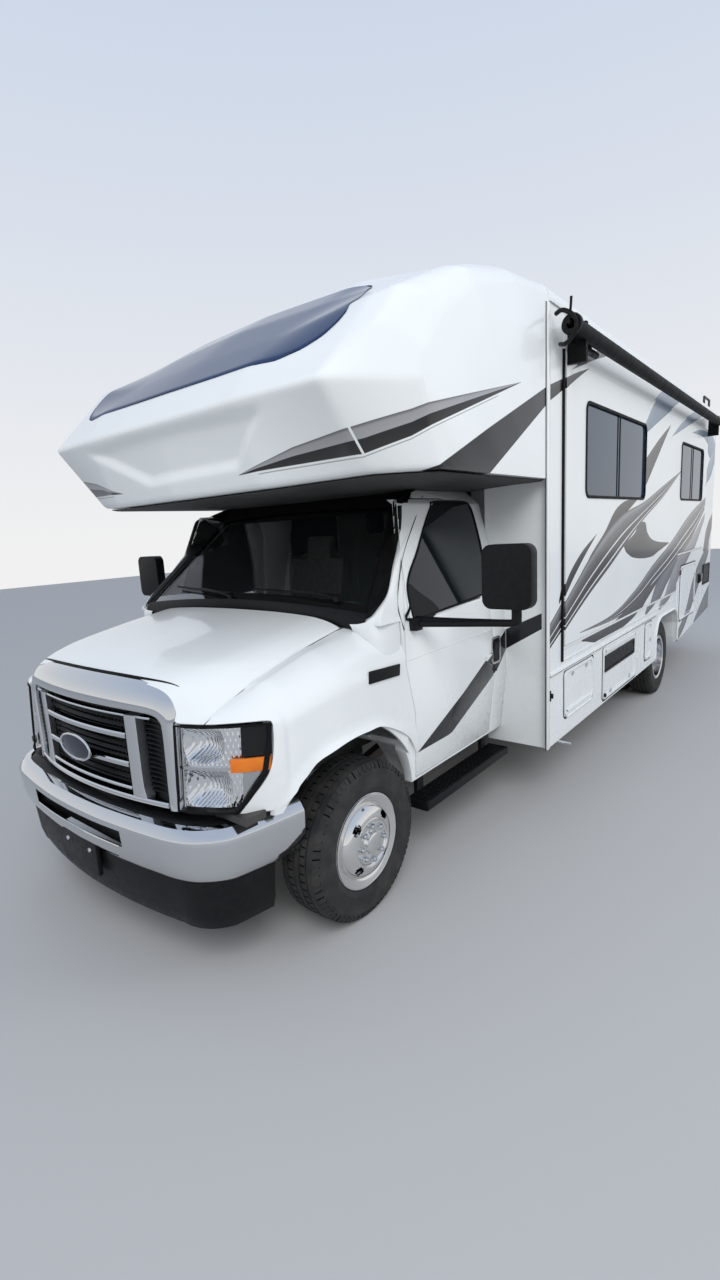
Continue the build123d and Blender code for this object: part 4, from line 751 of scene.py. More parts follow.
# %% Give every node of the frame its finish
SLOT_FINISH = {
    "body_white": coach_white, "black_frame": frame_black, "cast_metal": cast_iron, "chrome_trim": chrome,
    "black_plastic": plastic, "interior_grey": cloth, "lamp_clear": clear_lens, "lamp_red": red_lens,
    "tinted_glass": coach_glass, "tyre_rubber": rubber, "wheel_steel": steel, "floor_wood": timber,
    "white_plastic": roof_plastic,
}
NODE_FINISH = {"front_wall": corner_white, "slide_topper": seal_black}
NODE_FINISH |= dict.fromkeys(("fenders", "hood"), van_white)
NODE_FINISH |= dict.fromkeys(("cab_shell", "cab_door_left", "cab_door_right"), door_white)
NODE_FINISH |= dict.fromkeys(("cab_glass_left", "cab_glass_right"), cab_glass)
NODE_FINISH |= dict.fromkeys((
    "left_wall", "right_wall", "slide_outer_wall", "cargo_door_front", "cargo_door_mid", "cargo_door_right",
    "service_door", "utility_door", "entry_door"), coach_film)
for row in frame["record"]["subparts"]:
    NODE_FINISH.setdefault(row["node"], SLOT_FINISH[row["material_slot"]])
    node = frame["nodes"][row["node"]]
    node.data.materials.clear()
    node.data.materials.append(NODE_FINISH[row["node"]].material)
print("finished nodes", len(frame["nodes"]))

# %% [markdown]
# The over-cab cap is one moulded shell with soft creases. The frame holds it as a faceted loft. Here the
# same sections are sampled finely, and the grid is relaxed a few times, which rounds every crease alike.
# The shallow panel in its face is pressed in before that, so that its edge comes out soft too.

# %% Cap sections, from the middle outwards
# half-width, then (distance behind the front axle, height) of the under edge, ridge, brow and nose
CAP_SECTIONS = [
    (0.0, (-0.16, 1.975), (-0.27, 2.325), (-0.17, 2.462), (0.06, 2.64), (0.33, 2.84), (0.68, 3.045)),
    (0.6, (-0.12, 1.98), (-0.26, 2.33), (-0.16, 2.467), (0.06, 2.63), (0.33, 2.82), (0.69, 3.035)),
    (1.05, (0.045, 2.003), (-0.221, 2.337), (-0.06, 2.5), (0.13, 2.705), (0.49, 2.88), (0.9, 3.035)),
    (1.15, (0.13, 2.004), (-0.06, 2.342), (0.03, 2.56), (0.19, 2.735), (0.54, 2.895), (0.98, 3.02)),
    (1.22, (0.2, 2.006), (0.06, 2.345), (0.13, 2.52), (0.26, 2.7), (0.6, 2.89), (1.05, 2.995)),
    (1.27, (0.26, 2.01), (0.15, 2.35), (0.185, 2.454), (0.347, 2.63), (0.6, 2.787), (1.0, 2.912)),
]
CAP_REAR = 1.4295
CROWN_Z, ROOF_FALL, ROOF_CORNER = 3.07, 0.025, 0.09
CAP_PANEL = [(-0.74, 2.292), (-0.185, 2.058), (0.5, 2.07), (0.762, 2.3), (0.3, 2.306), (-0.3, 2.306)]
CAP_PANEL_DEPTH, CAP_PANEL_SLOPE = 0.03, 0.045
CAP_PANEL_REAR, CAP_PANEL_TOP = 0.3, 2.33


def roof_z(x):
    """Height of the coach's roof, which curves down at its sides."""
    flat = COACH_HALF - ROOF_CORNER
    if abs(x) <= flat:
        return CROWN_Z - ROOF_FALL * (x / flat) ** 2
    return CROWN_Z - ROOF_FALL - ROOF_CORNER + sqrt(max(ROOF_CORNER ** 2 - (abs(x) - flat) ** 2, 0))


def cap_section(x):
    """The cap's closed section at a distance from the middle."""
    far = min(i for i, row in enumerate(CAP_SECTIONS) if row[0] >= abs(x) - 1e-9)
    near = max(far - 1, 0)
    a, b = CAP_SECTIONS[near], CAP_SECTIONS[far]
    t = 0 if far == near else (abs(x) - a[0]) / (b[0] - a[0])
    nose = [(p[0] + (q[0] - p[0]) * t, p[1] + (q[1] - p[1]) * t) for p, q in zip(a[1:], b[1:])]
    return [*nose, (CAP_REAR, roof_z(x)), (CAP_REAR, nose[0][1])]


def inside_depth(x, z, outline):
    """How far a point lies inside a convex-enough outline; negative outside."""
    depth = 10.0
    for (ax, az), (bx, bz) in zip(outline, outline[1:] + outline[:1]):
        length = hypot(bx - ax, bz - az)
        depth = min(depth, ((bx - ax) * (z - az) - (bz - az) * (x - ax)) / length)
    return depth


# %% The cap's shell
CAP_STEPS = (26, 12, 16, 20, 24, 30, 8, 40)
CAP_ROWS = 160


def eased(share):
    """A share held between 0 and 1, with a soft start and end."""
    share = min(max(share, 0), 1)
    return share * share * (3 - 2 * share)


def cap_shape():
    rows = []
    for i in range(CAP_ROWS + 1):
        x = (-1 + 2 * i / CAP_ROWS) * COACH_HALF
        corners = cap_section(x)
        row = []
        for (s0, z0), (s1, z1), steps in zip(corners, corners[1:] + corners[:1], CAP_STEPS):
            for k in range(steps):
                s, z = s0 + (s1 - s0) * k / steps, z0 + (z1 - z0) * k / steps
                if s < CAP_PANEL_REAR and z < CAP_PANEL_TOP:
                    s += CAP_PANEL_DEPTH * eased(inside_depth(x, z, CAP_PANEL) / CAP_PANEL_SLOPE)
                row.append((x, st(s), z))
        rows.append(row)
    shape = Shape().skin(rows)
    shape.bm.verts.ensure_lookup_table()
    loose = [v for v in shape.bm.verts if v.co.y < st(CAP_REAR) - 0.02 and len(v.link_edges) == 4
             and abs(v.co.x) < COACH_HALF - 0.001]
    for _ in range(3):
        bmesh.ops.smooth_vert(shape.bm, verts=loose, factor=0.5, use_axis_x=True, use_axis_y=True,
                              use_axis_z=True)
    return shape


cap = place("cap_shell", cap_shape(), cap_white, sharp=50, replaces=["overcab_cap"])
print("cap faces", len(cap.data.polygons))


def surface_of(*meshes):
    """A tree for finding where a ray meets some meshes."""
    together = bmesh.new()
    for mesh in meshes:
        together.from_mesh(mesh)
    tree = BVHTree.FromBMesh(together)
    together.free()
    return tree


CAP_SURFACE = surface_of(cap.data)


def on_cap(x, s, lift):
    """The point of the cap's top surface over a place, lifted off it."""
    hit = CAP_SURFACE.ray_cast(at(x, s, 4.0), Vector((0, 0, -1)))[0]
    return hit + Vector((0, 0, lift))


# %% [markdown]
# The fixed glass is one node with three kinds of pane. The windscreen is clear with a black fired border,
# the coach's side and rear windows are dark. Each gets a piece of its own, cut out of the node's mesh by
# where it lies.

# %% Windscreen and coach windows
SCREEN_LOW_Y, SCREEN_LOW_Z, SCREEN_BOW, SCREEN_HALF = 0.165, 1.365, 0.055, 0.95
SCREEN_RUN, SCREEN_RISE, SCREEN_FOOT_HALF = 0.64, 0.59, 0.905
SCREEN_FOOT_Z, SCREEN_FOOT_FALL = 1.432, 0.047
SCREEN_LENGTH = hypot(SCREEN_RUN, SCREEN_RISE)


def screen_point(x, z, lift=0.0):
    """A point on the bowed windscreen surface, lifted off it."""
    out = SCREEN_BOW * (1 - (x / SCREEN_HALF) ** 2) + lift
    t = (z - SCREEN_LOW_Z - out * SCREEN_RUN / SCREEN_LENGTH) / SCREEN_RISE
    return at(x, SCREEN_LOW_Y + t * SCREEN_RUN - out * SCREEN_RISE / SCREEN_LENGTH, z)


def screen_print(glass, border=0.045):
    """The black border of the windscreen, as a share: 1 in the border, 0 in the clear."""
    x, _, z = glass.axes()
    side = x.abs() - (SCREEN_FOOT_HALF - (z - 1.385) * 0.3389 - border)
    top = z - (1.925 - border * 1.3)
    foot = SCREEN_FOOT_Z - SCREEN_FOOT_FALL * (x / SCREEN_FOOT_HALF) * (x / SCREEN_FOOT_HALF)
    low = (foot + border * 0.9) - z
    return side.high(top).high(low).step(-0.004, 0.004)


SCREEN_TINT, SCREEN_CLEAR = (0.02, 0.026, 0.026), 0.8
windscreen_glass = glass_finish("windscreen_glass", SCREEN_TINT, SCREEN_CLEAR)
border = screen_print(windscreen_glass)
windscreen_glass.set("Base Color", windscreen_glass.mix(border, SCREEN_TINT, (0.006, 0.006, 0.006)))
windscreen_glass.set("Alpha", 0.2 + border * SCREEN_CLEAR)
GLASS_PARTS = {
    "windscreen": (lambda p: p.y < st(1.2) and p.z < 2.05, windscreen_glass),
    "right_windows": (lambda p: p.y > st(1.2) and p.x < -COACH_HALF + 0.1, coach_glass),
    "rear_window": (lambda p: p.y > st(6.5) and p.x > -COACH_HALF + 0.1, coach_glass),
}
for name, (keep, finish) in GLASS_PARTS.items():
    softened("fixed_glass", 0.0, finish, keep, name)

# %% [markdown]
# Coach windows are framed panes: a black frame with round corners clamps the glass to the wall. One
# routine makes each frame, and a divider where the window slides.

# %% Window frames
FRAME_W, FRAME_PROUD = 0.015, 0.007


def window_frame(x, y0, y1, z0, z1, divider=None):
    """A frame on a side wall; divider tells how far along it a bar stands."""
    out = 1 if x > 0 else -1
    outer = rounded_box(y0 - 0.004, y1 + 0.004, z0 - 0.004, z1 + 0.004, 0.064)
    inner = rounded_box(y0 + FRAME_W, y1 - FRAME_W, z0 + FRAME_W, z1 - FRAME_W, 0.045)
    frame_shape = Shape().ring(outer, inner, "X", x - out * 0.004, x + out * FRAME_PROUD)
    if divider:
        y = y0 + divider * (y1 - y0)
        frame_shape.box(x - out * 0.004, x + out * 0.003, y - 0.008, y + 0.008, z0 + 0.01, z1 - 0.01)
    return frame_shape


SLIDE_X = COACH_HALF + 0.0183
left_frames = joined(window_frame(SLIDE_X, st(2.0), st(3.47), 1.91, 2.5, 0.5),
                     window_frame(SLIDE_X, st(4.85), st(6.02), 1.917, 2.48, 0.5))
place("slide_window_frames", left_frames, seal_black, "slide_out", 0.002)
right_frames = joined(*[window_frame(-COACH_HALF, st(s0), st(s1), z0, z1, 0.5) for s0, s1, z0, z1 in (
    (1.78, 2.5, 1.6, 2.3), (3.75, 5.0, 1.6, 2.3), (5.45, 6.3, 1.9, 2.3))])
place("right_window_frames", right_frames, plastic, "vehicle", 0.002)
place("entry_window_frame", window_frame(-COACH_HALF, st(2.94), st(3.26), 1.75, 2.3), plastic,
      "entry_door", 0.002)
rear_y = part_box("rear_wall")[1].y
rear_frame = Shape().ring(rounded_box(-0.455, 0.455, 1.645, 2.155, 0.03),
                          rounded_box(-0.43, 0.43, 1.67, 2.13, 0.02), "Y", rear_y - 0.004, rear_y + 0.007)
place("rear_window_frame", rear_frame, plastic, "vehicle", 0.002)

# %% [markdown]
# The van's panels and bright work come from the frame with their edges rounded. A real panel edge has a
# radius of a few millimetres, and the thin line of light along it is what makes sheet metal look real.

# %% Van panels and trim with rounded edges
NODE_BEVELS = {"fenders": 0.004, "cab_shell": 0.004, "cab_door_left": 0.003, "cab_door_right": 0.003,
               "cab_trim": 0.005, "roof_units": 0.012, "patio_awning": 0.006, "cab_interior": 0.022,
               "mirror_left": 0.014, "mirror_right": 0.014}
for node, bevel in NODE_BEVELS.items():
    softened(node, bevel)
print("rounded pieces", len(PIECES))

# %% [markdown]
# A tyre is a turned profile: beads, a sidewall with its scuff rings, shoulders and a tread with four
# grooves. The blocks on its shoulders are repeated round it by the tree.

# %% Tyres
FRONT_TYRE_X, INNER_TYRE_X, OUTER_TYRE_X = 0.8815, 0.853, 1.115
REAR_AXLE_Y = st(4.47)
TYRE_STEPS, LUGS, SLOTS = 96, 72, 60


def tyre_shape(x, y):
    """One tyre: its turned body and the blocks of both shoulders."""
    half = [(0.086, 0.2225), (0.1, 0.226), (0.1075, 0.246), (0.11, 0.252), (0.1085, 0.256), (0.1115, 0.29),
            (0.109, 0.318), (0.1105, 0.322), (0.107, 0.328), (0.101, 0.347), (0.093, 0.359), (0.088, 0.3655),
            (0.06, 0.369), (0.0585, 0.36), (0.05, 0.36), (0.0485, 0.3696), (0.022, 0.37), (0.0205, 0.3605),
            (0.012, 0.3605), (0.0105, 0.37)]
    profile = half + [(-a, r) for a, r in reversed(half)]
    profile += [(-0.086, 0.2115), (0.086, 0.2115)]
    body = Shape().lathe(profile, (x, y, TYRE_R), steps=TYRE_STEPS)
    block = [(0.0895, 0.3585), (0.103, 0.34), (0.1055, 0.342), (0.096, 0.361), (0.089, 0.3668)]
    lugs = []
    for sign in (1, -1):
        lug = Shape().skin([[(sign * a, sin(t) * r, cos(t) * r) for a, r in block] for t in (-0.026, 0.026)])
        lugs.append(round_axle(lug, LUGS, x, y))
    return joined(body, *lugs)


# Pure black without gloss: painted shade in the tyre's cross slots.
tread_shadow = Finish("tread_shadow", (0.003, 0.003, 0.003), 1.0, slot="tyre_rubber")
tread_shadow.set("Specular IOR Level", 0.0)


def tyre_slot_shades(x, y):
    """Thin pure black strips in the cross slots on the shoulders and the ribs beside them: painted shade."""
    slots = []
    for sign in (1, -1):
        for line in ([(0.0885, 0.3662), (0.0935, 0.3598), (0.1016, 0.3476), (0.105, 0.3385)],
                     [(0.023, 0.3705), (0.0475, 0.3701), (0.0475, 0.364)]):
            loop = line + [(a, r - 0.003) for a, r in reversed(line)]
            slot = Shape().skin([[(sign * a, sin(t) * r, cos(t) * r) for a, r in loop]
                                 for t in (-0.0075, 0.0075)])
            slots.append(round_axle(slot, SLOTS, x, y))
    return joined(*slots)


for word, side in SIDES:
    front, rear = f"front_wheel_{word}_body", f"rear_wheels_{word}_body"
    place(f"front_tyre_{word}_tread", tyre_shape(side * FRONT_TYRE_X, AXLE_Y), rubber, front,
          replaces=[f"front_tyre_{word}"])
    pair = [tyre_shape(side * x, REAR_AXLE_Y) for x in (INNER_TYRE_X, OUTER_TYRE_X)]
    place(f"rear_tyres_{word}_tread", joined(*pair), rubber, rear, replaces=[f"rear_tyres_{word}"])
    place(f"front_tyre_{word}_slots", tyre_slot_shades(side * FRONT_TYRE_X, AXLE_Y), tread_shadow, front)
    place(f"rear_tyre_{word}_slots", tyre_slot_shades(side * OUTER_TYRE_X, REAR_AXLE_Y), tread_shadow, rear)
print("tyre faces", PIECES["front_tyre_left_tread"])

# %% [markdown]
# The skylight is a dark acrylic panel, bowed along its front edge and narrower at its top. It is laid on
# the cap as a thin sheet: each of its points is dropped straight down on the shell.

# %% Skylight panel
PANEL_ROWS, PANEL_COLUMNS = 24, 32


def turned_in(w, share):
    """0 in the middle of an edge, rising along a quarter circle to 1 at its end."""
    return 1 - sqrt(max(1 - (max(abs(w) - 1 + share, 0) / share) ** 2, 0))


def skylight_panel():
    rings = []
    for v in range(PANEL_ROWS + 1):
        t = v / PANEL_ROWS
        row = []
        for u in range(PANEL_COLUMNS + 1):
            w = sin(pi / 2 * (-1 + 2 * u / PANEL_COLUMNS))
            front = (0.965 * w, -0.158 + 0.03 * w * w + 0.2 * turned_in(w, 0.3))
            back = (0.8 * w, 0.56 - 0.11 * turned_in(w, 0.16))
            side = 1 + 0.012 * sin(pi * t)
            row.append((side * (front[0] + (back[0] - front[0]) * t), front[1] + (back[1] - front[1]) * t))
        rings.append([on_cap(x, s, 0.006) for x, s in row] + [on_cap(x, s, -0.004) for x, s in reversed(row)])
    return Shape().skin(rings)


acrylic = Finish("skylight_acrylic", (0.014, 0.034, 0.098), 0.07, slot="tinted_glass")
acrylic.set("Specular IOR Level", 0.16)
place("skylight_panel", skylight_panel(), acrylic, sharp=60)

# %% [markdown]
# The bonnet is drawn again as one pressed panel. Its front edge runs along the chrome header, rounds its
# corner and follows the lamp's upper edge, so the seam with the wing comes down on the lamp as it does
# on the real van. Rows run from front to back, points from the middle outwards.

# %% Bonnet
SEAM_X = 0.7655
BONNET = [
    [(0, -0.7, 1.226), (0.3, -0.698, 1.223), (0.5, -0.692, 1.208), (0.585, -0.688, 1.18),
     (0.63, -0.694, 1.13), (0.645, -0.71, 1.093), (0.7, -0.6965, 1.091), (SEAM_X, -0.668, 1.091)],
    [(0, -0.655, 1.249), (0.3, -0.653, 1.246), (0.51, -0.645, 1.232), (0.61, -0.638, 1.206),
     (0.67, -0.64, 1.16), (0.705, -0.65, 1.124), (0.735, -0.652, 1.108), (SEAM_X, -0.64, 1.104)],
    [(0, -0.56, 1.276), (0.31, -0.56, 1.273), (0.53, -0.56, 1.258), (0.63, -0.56, 1.236),
     (0.69, -0.565, 1.202), (0.728, -0.572, 1.165), (0.75, -0.578, 1.142), (SEAM_X, -0.58, 1.128)],
    [(0, -0.42, 1.307), (0.32, -0.42, 1.303), (0.56, -0.42, 1.288), (0.655, -0.42, 1.27),
     (0.705, -0.42, 1.248), (0.738, -0.42, 1.225), (0.755, -0.42, 1.208), (SEAM_X, -0.42, 1.194)],
    [(0, -0.15, 1.352), (0.32, -0.15, 1.348), (0.56, -0.15, 1.336), (0.655, -0.15, 1.322),
     (0.705, -0.15, 1.306), (0.738, -0.15, 1.29), (0.755, -0.15, 1.279), (SEAM_X, -0.15, 1.269)],
    [(0, 0.136, 1.395), (0.32, 0.136, 1.391), (0.56, 0.136, 1.379), (0.655, 0.136, 1.366),
     (0.705, 0.136, 1.354), (0.738, 0.136, 1.343), (0.755, 0.136, 1.336), (SEAM_X, 0.136, 1.328)]]


def smooth_grid(rows, across=5, along=7):
    """A finer grid through a coarse one."""
    fine = [smooth_path(row, across) for row in rows]
    columns = [smooth_line([row[j] for row in fine], along) for j in range(len(fine[0]))]
    return [list(row) for row in zip(*columns)]


bonnet_rows = [flipped(row[1:]) + row for row in smooth_grid(BONNET)]
place("hood_panel", Shape().sheet(bonnet_rows, 0.004), van_white, "hood", sharp=60, replaces=["hood"])
BONNET_EDGE = [(s, z) for x, s, z in (row[-1] for row in BONNET)]
hood_seam = smooth_path([(SEAM_X + 0.0015, s, z - 0.005) for s, z in BONNET_EDGE])
place("hood_edge_seal", Shape().bar(hood_seam, 0.0038, 6).mirrored(), seal_black, "hood")

# %% [markdown]
# The wing follows the frame's own wing from the arch backwards: rays cast at it give the points, lifted by
# three millimetres. In front of the arch it is drawn to the outline of the lamp.

# %% Wings
ARCH = [(-0.47, 0.7), (-0.455, 0.738), (-0.4, 0.795), (-0.3, 0.858), (-0.2, 0.893), (-0.05, 0.902),
        (0.105, 0.896), (0.2, 0.84), (0.27, 0.77), (0.335, 0.645), (0.4, 0.52), (0.43, 0.5)]
DOOR_EDGE = [(0.51, 0.426), (0.89, 0.386), (1.14, 0.326), (1.29, 0.346), (1.36, 0.362)]
WING_SURFACE = surface_of(frame["nodes"]["fenders"].data)
WING_POINTS = 40
SHOULDER_X, SHOULDER_Z = 0.79, 1.04
SHOULDER_STEPS, FLANK_STEPS = 13, 8


def between(table, value):
    """The height of a line of (run, height) points at a place along it."""
    for (a, va), (b, vb) in zip(table, table[1:]):
        if value <= b:
            break
    return va + (vb - va) * min(max((value - a) / (b - a), 0), 1)


def on_wing(origin, target, fallback, lift=0.003):
    """Where a ray between two points meets the frame's wing, lifted off it."""
    back = (Vector(origin) - Vector(target)).normalized()
    hit = WING_SURFACE.ray_cast(Vector(origin), -back)[0]
    return Vector(fallback) if hit is None else hit + lift * back


def wing_row(s, edge=0.0):
    """Points across the wing at a station: from the bonnet seam, over the shoulder, down to the arch."""
    y = st(s)
    row = []
    for k in range(SHOULDER_STEPS + 1):
        turn = radians(90 - 90 * k / SHOULDER_STEPS)
        aim = (SHOULDER_X + 0.06 * k / SHOULDER_STEPS, y, SHOULDER_Z)
        away = (aim[0] + 0.5 * cos(turn), y, SHOULDER_Z + 0.5 * sin(turn))
        row.append(on_wing(away, aim, (SHOULDER_X, y, 1.2)))
    row[0] = Vector((SEAM_X + 0.006, y, between(BONNET_EDGE, s)))
    low = between(ARCH, s)
    top_z = row[-1].z
    for k in range(1, FLANK_STEPS + 1):
        z = top_z + (low - top_z) * k / FLANK_STEPS
        half = between([(0.5, 0.963), (0.86, 1.003), (1.2, 1.003)], z)
        reach = on_wing((1.4, y, z), (0.8, y, z), (half, y, z))
        flare = 0.01 * max(1 - (z - low) / 0.05, 0)
        row.append(reach + Vector((flare, 0, 0)))
    if edge:
        for point in row:
            point.y = st(s + edge * (between(DOOR_EDGE, point.z) - s))
    return row


LAMP_SIDE = [(0.7715, -0.6665, 1.0915), (0.8, -0.651, 1.092), (0.84, -0.622, 1.093), (0.88, -0.59, 1.094),
             (0.915, -0.554, 1.094), (0.94, -0.523, 1.093), (0.956, -0.5, 1.086), (0.958, -0.497, 1.06),
             (0.957, -0.499, 1.0), (0.952, -0.508, 0.93), (0.944, -0.524, 0.882), (0.925, -0.55, 0.838),
             (0.905, -0.577, 0.802), (0.888, -0.598, 0.77), (0.871, -0.62, 0.738)]
NEAR_ARCH = [(0.7715, -0.585, 1.134), (0.805, -0.572, 1.136), (0.845, -0.553, 1.135), (0.88, -0.532, 1.13),
             (0.915, -0.505, 1.119), (0.942, -0.482, 1.104), (0.96, -0.468, 1.082), (0.966, -0.463, 1.055),
             (0.968, -0.46, 1.0), (0.967, -0.462, 0.93), (0.965, -0.464, 0.88), (0.961, -0.468, 0.838),
             (0.956, -0.474, 0.8), (0.948, -0.482, 0.762), (0.938, -0.492, 0.722)]


def resampled(points, count=WING_POINTS):
    """Evenly spaced points on a smooth line through the given ones."""
    line = smooth_line(points, 8)
    lengths = [0.0]
    for p, q in zip(line, line[1:]):
        lengths.append(lengths[-1] + (q - p).length)
    out = []
    for k in range(count):
        want = lengths[-1] * k / (count - 1)
        i = next((i for i in range(1, len(lengths)) if lengths[i] >= want - 1e-9), len(lengths) - 1)
        span = lengths[i] - lengths[i - 1]
        out.append(line[i - 1].lerp(line[i], (want - lengths[i - 1]) / span if span else 0))
    return out


def wing():
    """The wing's skin, from the lamp's edge back to the door."""
    back_rows = [wing_row(s) for s in (-0.455, -0.43, -0.4, -0.36, -0.3, -0.22, -0.14, -0.06, 0.02, 0.1)]
    back_rows += [wing_row(0.17, 0.12), wing_row(0.23, 0.3), wing_row(0.28, 0.6), wing_row(0.326, 1.0)]
    rows = [[at(*point) for point in line] for line in (LAMP_SIDE, NEAR_ARCH)]
    rows = [resampled(row) for row in rows + back_rows[1:]]
    columns = [smooth_line([row[j] for row in rows], 4) for j in range(WING_POINTS)]
    return Shape().sheet([list(row) for row in zip(*columns)], 0.004)


place("wing_skin", wing().mirrored(), van_white, sharp=60)

# %% [markdown]
# A headlamp is a clear cover over bright bowls. The cover is the frame's own solid. Behind it a dark
# housing carries two faceted bowls, one above the other, an amber marker and a dark outer panel.

# %% Headlamps
HEADLAMP_LEAN = 0.022
LAMP_PLAN = [(0.636, -0.716), (0.7, -0.697), (0.765, -0.668), (0.812, -0.64), (0.875, -0.59), (0.93, -0.53),
             (0.952, -0.498)]


def lamp_front(x, z):
    """The lamp cover's outer surface, as a station."""
    return between(LAMP_PLAN, x) - HEADLAMP_LEAN * (1.082 - z) / 0.347


def lamp_inside(x, z, depth):
    """A point behind the lamp's cover."""
    return at(x - 0.35 * depth, lamp_front(x, z) + depth, z)


# Each bowl: the middle's x and z, then half its width and height.
BOWLS = [(0.735, 0.995, 0.078, 0.07), (0.745, 0.825, 0.088, 0.078)]
BOWL_DEPTH = 0.055
MIRROR_X, MIRROR_Z = (0.646, 0.868), (0.748, 1.07)
STRIP_STEPS = 12


def reflector(columns=56, rows=60):
    """A bright sheet behind the cover with a bowl pressed in for each beam."""
    grid = []
    for r in range(rows + 1):
        z = MIRROR_Z[0] + (MIRROR_Z[1] - MIRROR_Z[0]) * r / rows
        row = []
        for c in range(columns + 1):
            x = MIRROR_X[0] + (MIRROR_X[1] - MIRROR_X[0]) * c / columns
            depth = 0.026 + 0.05 * (x - MIRROR_X[0])
            for cx, cz, half_w, half_h in BOWLS:
                away = max(abs(x - cx) / half_w, abs(z - cz) / half_h)
                away = 0.5 * away + 0.5 * hypot((x - cx) / half_w, (z - cz) / half_h)
                depth += BOWL_DEPTH * max(1 - away * away, 0)
            row.append(lamp_inside(x, z, depth))
        grid.append(row)
    back = [[p + Vector((0, 0.004, 0)) for p in row] for row in grid]
    return Shape().skin([row + rear[::-1] for row, rear in zip(grid, back)])


reflector_chrome = Finish("lamp_reflector", (0.88, 0.89, 0.9), 0.06, 1.0, "chrome_trim")
rx, _, rz = reflector_chrome.axes()
flutes = (rx * 420.0).sine() * (rz * 130.0).sine()
reflector_chrome.bump(flutes, 0.8, 0.0016)
place("lamp_reflectors", reflector().mirrored(), reflector_chrome, sharp=40)


def lamp_patch(x0, x1, z0, z1, depth, thick=0.004):
    """A strip that follows the lamp's cover inside it."""
    rings = []
    for k in range(STRIP_STEPS + 1):
        x = x0 + (x1 - x0) * k / STRIP_STEPS
        rings.append([lamp_inside(x, z0, depth), lamp_inside(x, z1, depth),
                      lamp_inside(x, z1, depth + thick), lamp_inside(x, z0, depth + thick)])
    return Shape().skin(rings)


housing = joined(lamp_patch(0.64, 0.862, 0.74, 1.076, 0.105), lamp_patch(0.862, 0.935, 0.885, 1.076, 0.07))
place("lamp_housing", housing.mirrored(), plastic)
place("lamp_corner", lamp_patch(0.868, 0.944, 0.952, 1.07, 0.022).mirrored(), plastic)
place("lamp_amber", lamp_patch(0.838, 0.945, 0.893, 0.946, 0.01, 0.014).mirrored(), amber, bevel=0.002)
side_panel = Finish("lamp_side_chrome", (0.55, 0.56, 0.57), 0.22, 1.0, "chrome_trim")
side_panel.bump(side_panel.noise(60.0, 2.0), 0.15, 0.001)
place("lamp_side_panel", lamp_patch(0.868, 0.925, 0.77, 0.888, 0.024).mirrored(), side_panel)
shelf = joined(lamp_patch(0.648, 0.866, 0.903, 0.915, 0.012, 0.03),
               lamp_patch(0.655, 0.666, 0.75, 1.07, 0.012))
place("lamp_shelf", shelf.mirrored(), chrome)
lamp_rim = [at(x, lamp_front(x, z) - 0.0015, z) for x, z in (
    (0.642, 0.739), (0.7, 0.739), (0.78, 0.739), (0.858, 0.74), (0.893, 0.79), (0.918, 0.84),
    (0.936, 0.88), (0.943, 0.94), (0.948, 1.0), (0.95, 1.076), (0.9, 1.078), (0.84, 1.078),
    (0.76, 1.078), (0.7, 1.078), (0.642, 1.078), (0.642, 0.96), (0.642, 0.84))]
place("lamp_rim", Shape().bar(lamp_rim, 0.0055, 8, closed=True).mirrored(), seal_black)
outer_rim = [point + Vector((-0.006, -0.002, 0)) for point in lamp_rim[3:10]]
place("lamp_outer_rim", Shape().bar(smooth_line(outer_rim, 4), 0.0105, 8).mirrored(), seal_black)

# %% [markdown]
# The grille's surround is one rolled chrome band: over the top it rolls back to the bonnet, and its
# corners turn down into the legs. It is a skin of sections swept along an outer and an inner outline.
# Behind the bright bars the grille is black: bowed slats, and a fine mesh. The badge is a plain oval,
# a bright rim round a bare dark plate.

# %% Grille surround, bars, slats and badge
NOSE_BOW, NOSE_HALF, GRILLE_FRONT = 0.083, 0.65, -0.795


def nose_s(x):
    """Station of the bowed nose."""
    return GRILLE_FRONT + NOSE_BOW * (x / NOSE_HALF) ** 2


def bowed(half, front, section, steps=24):
    """A section of (depth, height) points swept along the bow of the nose."""
    rings = []
    for k in range(steps + 1):
        x = -half + 2 * half * k / steps
        y = st(nose_s(x) + front)
        rings.append([(x, y + depth, z) for depth, z in section])
    return Shape().skin(rings)


def bowed_slat(half, front, depth, height):
    """A dark sloping slat of the grille."""
    section = [(0, 0), (depth * 0.4, height), (depth, height * 0.8), (depth, -height * 0.4)]
    return bowed(half, front, section, 20)


def bowed_bar(half, z0, z1, front, depth, round_off=0.005):
    """A bright bar with its front edges taken off."""
    return bowed(half, front, [(round_off, z0), (0, z0 + round_off), (0, z1 - round_off), (round_off, z1),
                               (depth, z1 + 0.002), (depth, z0 - 0.002)])


OUTER = [(0.628, 0.716), (0.634, 0.83), (0.636, 0.95), (0.636, 1.06), (0.634, 1.13), (0.618, 1.178),
         (0.575, 1.207), (0.47, 1.222), (0.24, 1.233), (0, 1.236)]
INNER = [(0.562, 0.716), (0.564, 0.83), (0.567, 0.95), (0.568, 1.02), (0.564, 1.062), (0.546, 1.09),
         (0.51, 1.103), (0.43, 1.108), (0.22, 1.112), (0, 1.113)]


def outline_of(half):
    """A smooth outline through both halves of the nose, seen from the front."""
    line = smooth_line([(x, 0, z) for x, z in half])
    return line + flipped(line[:-1])


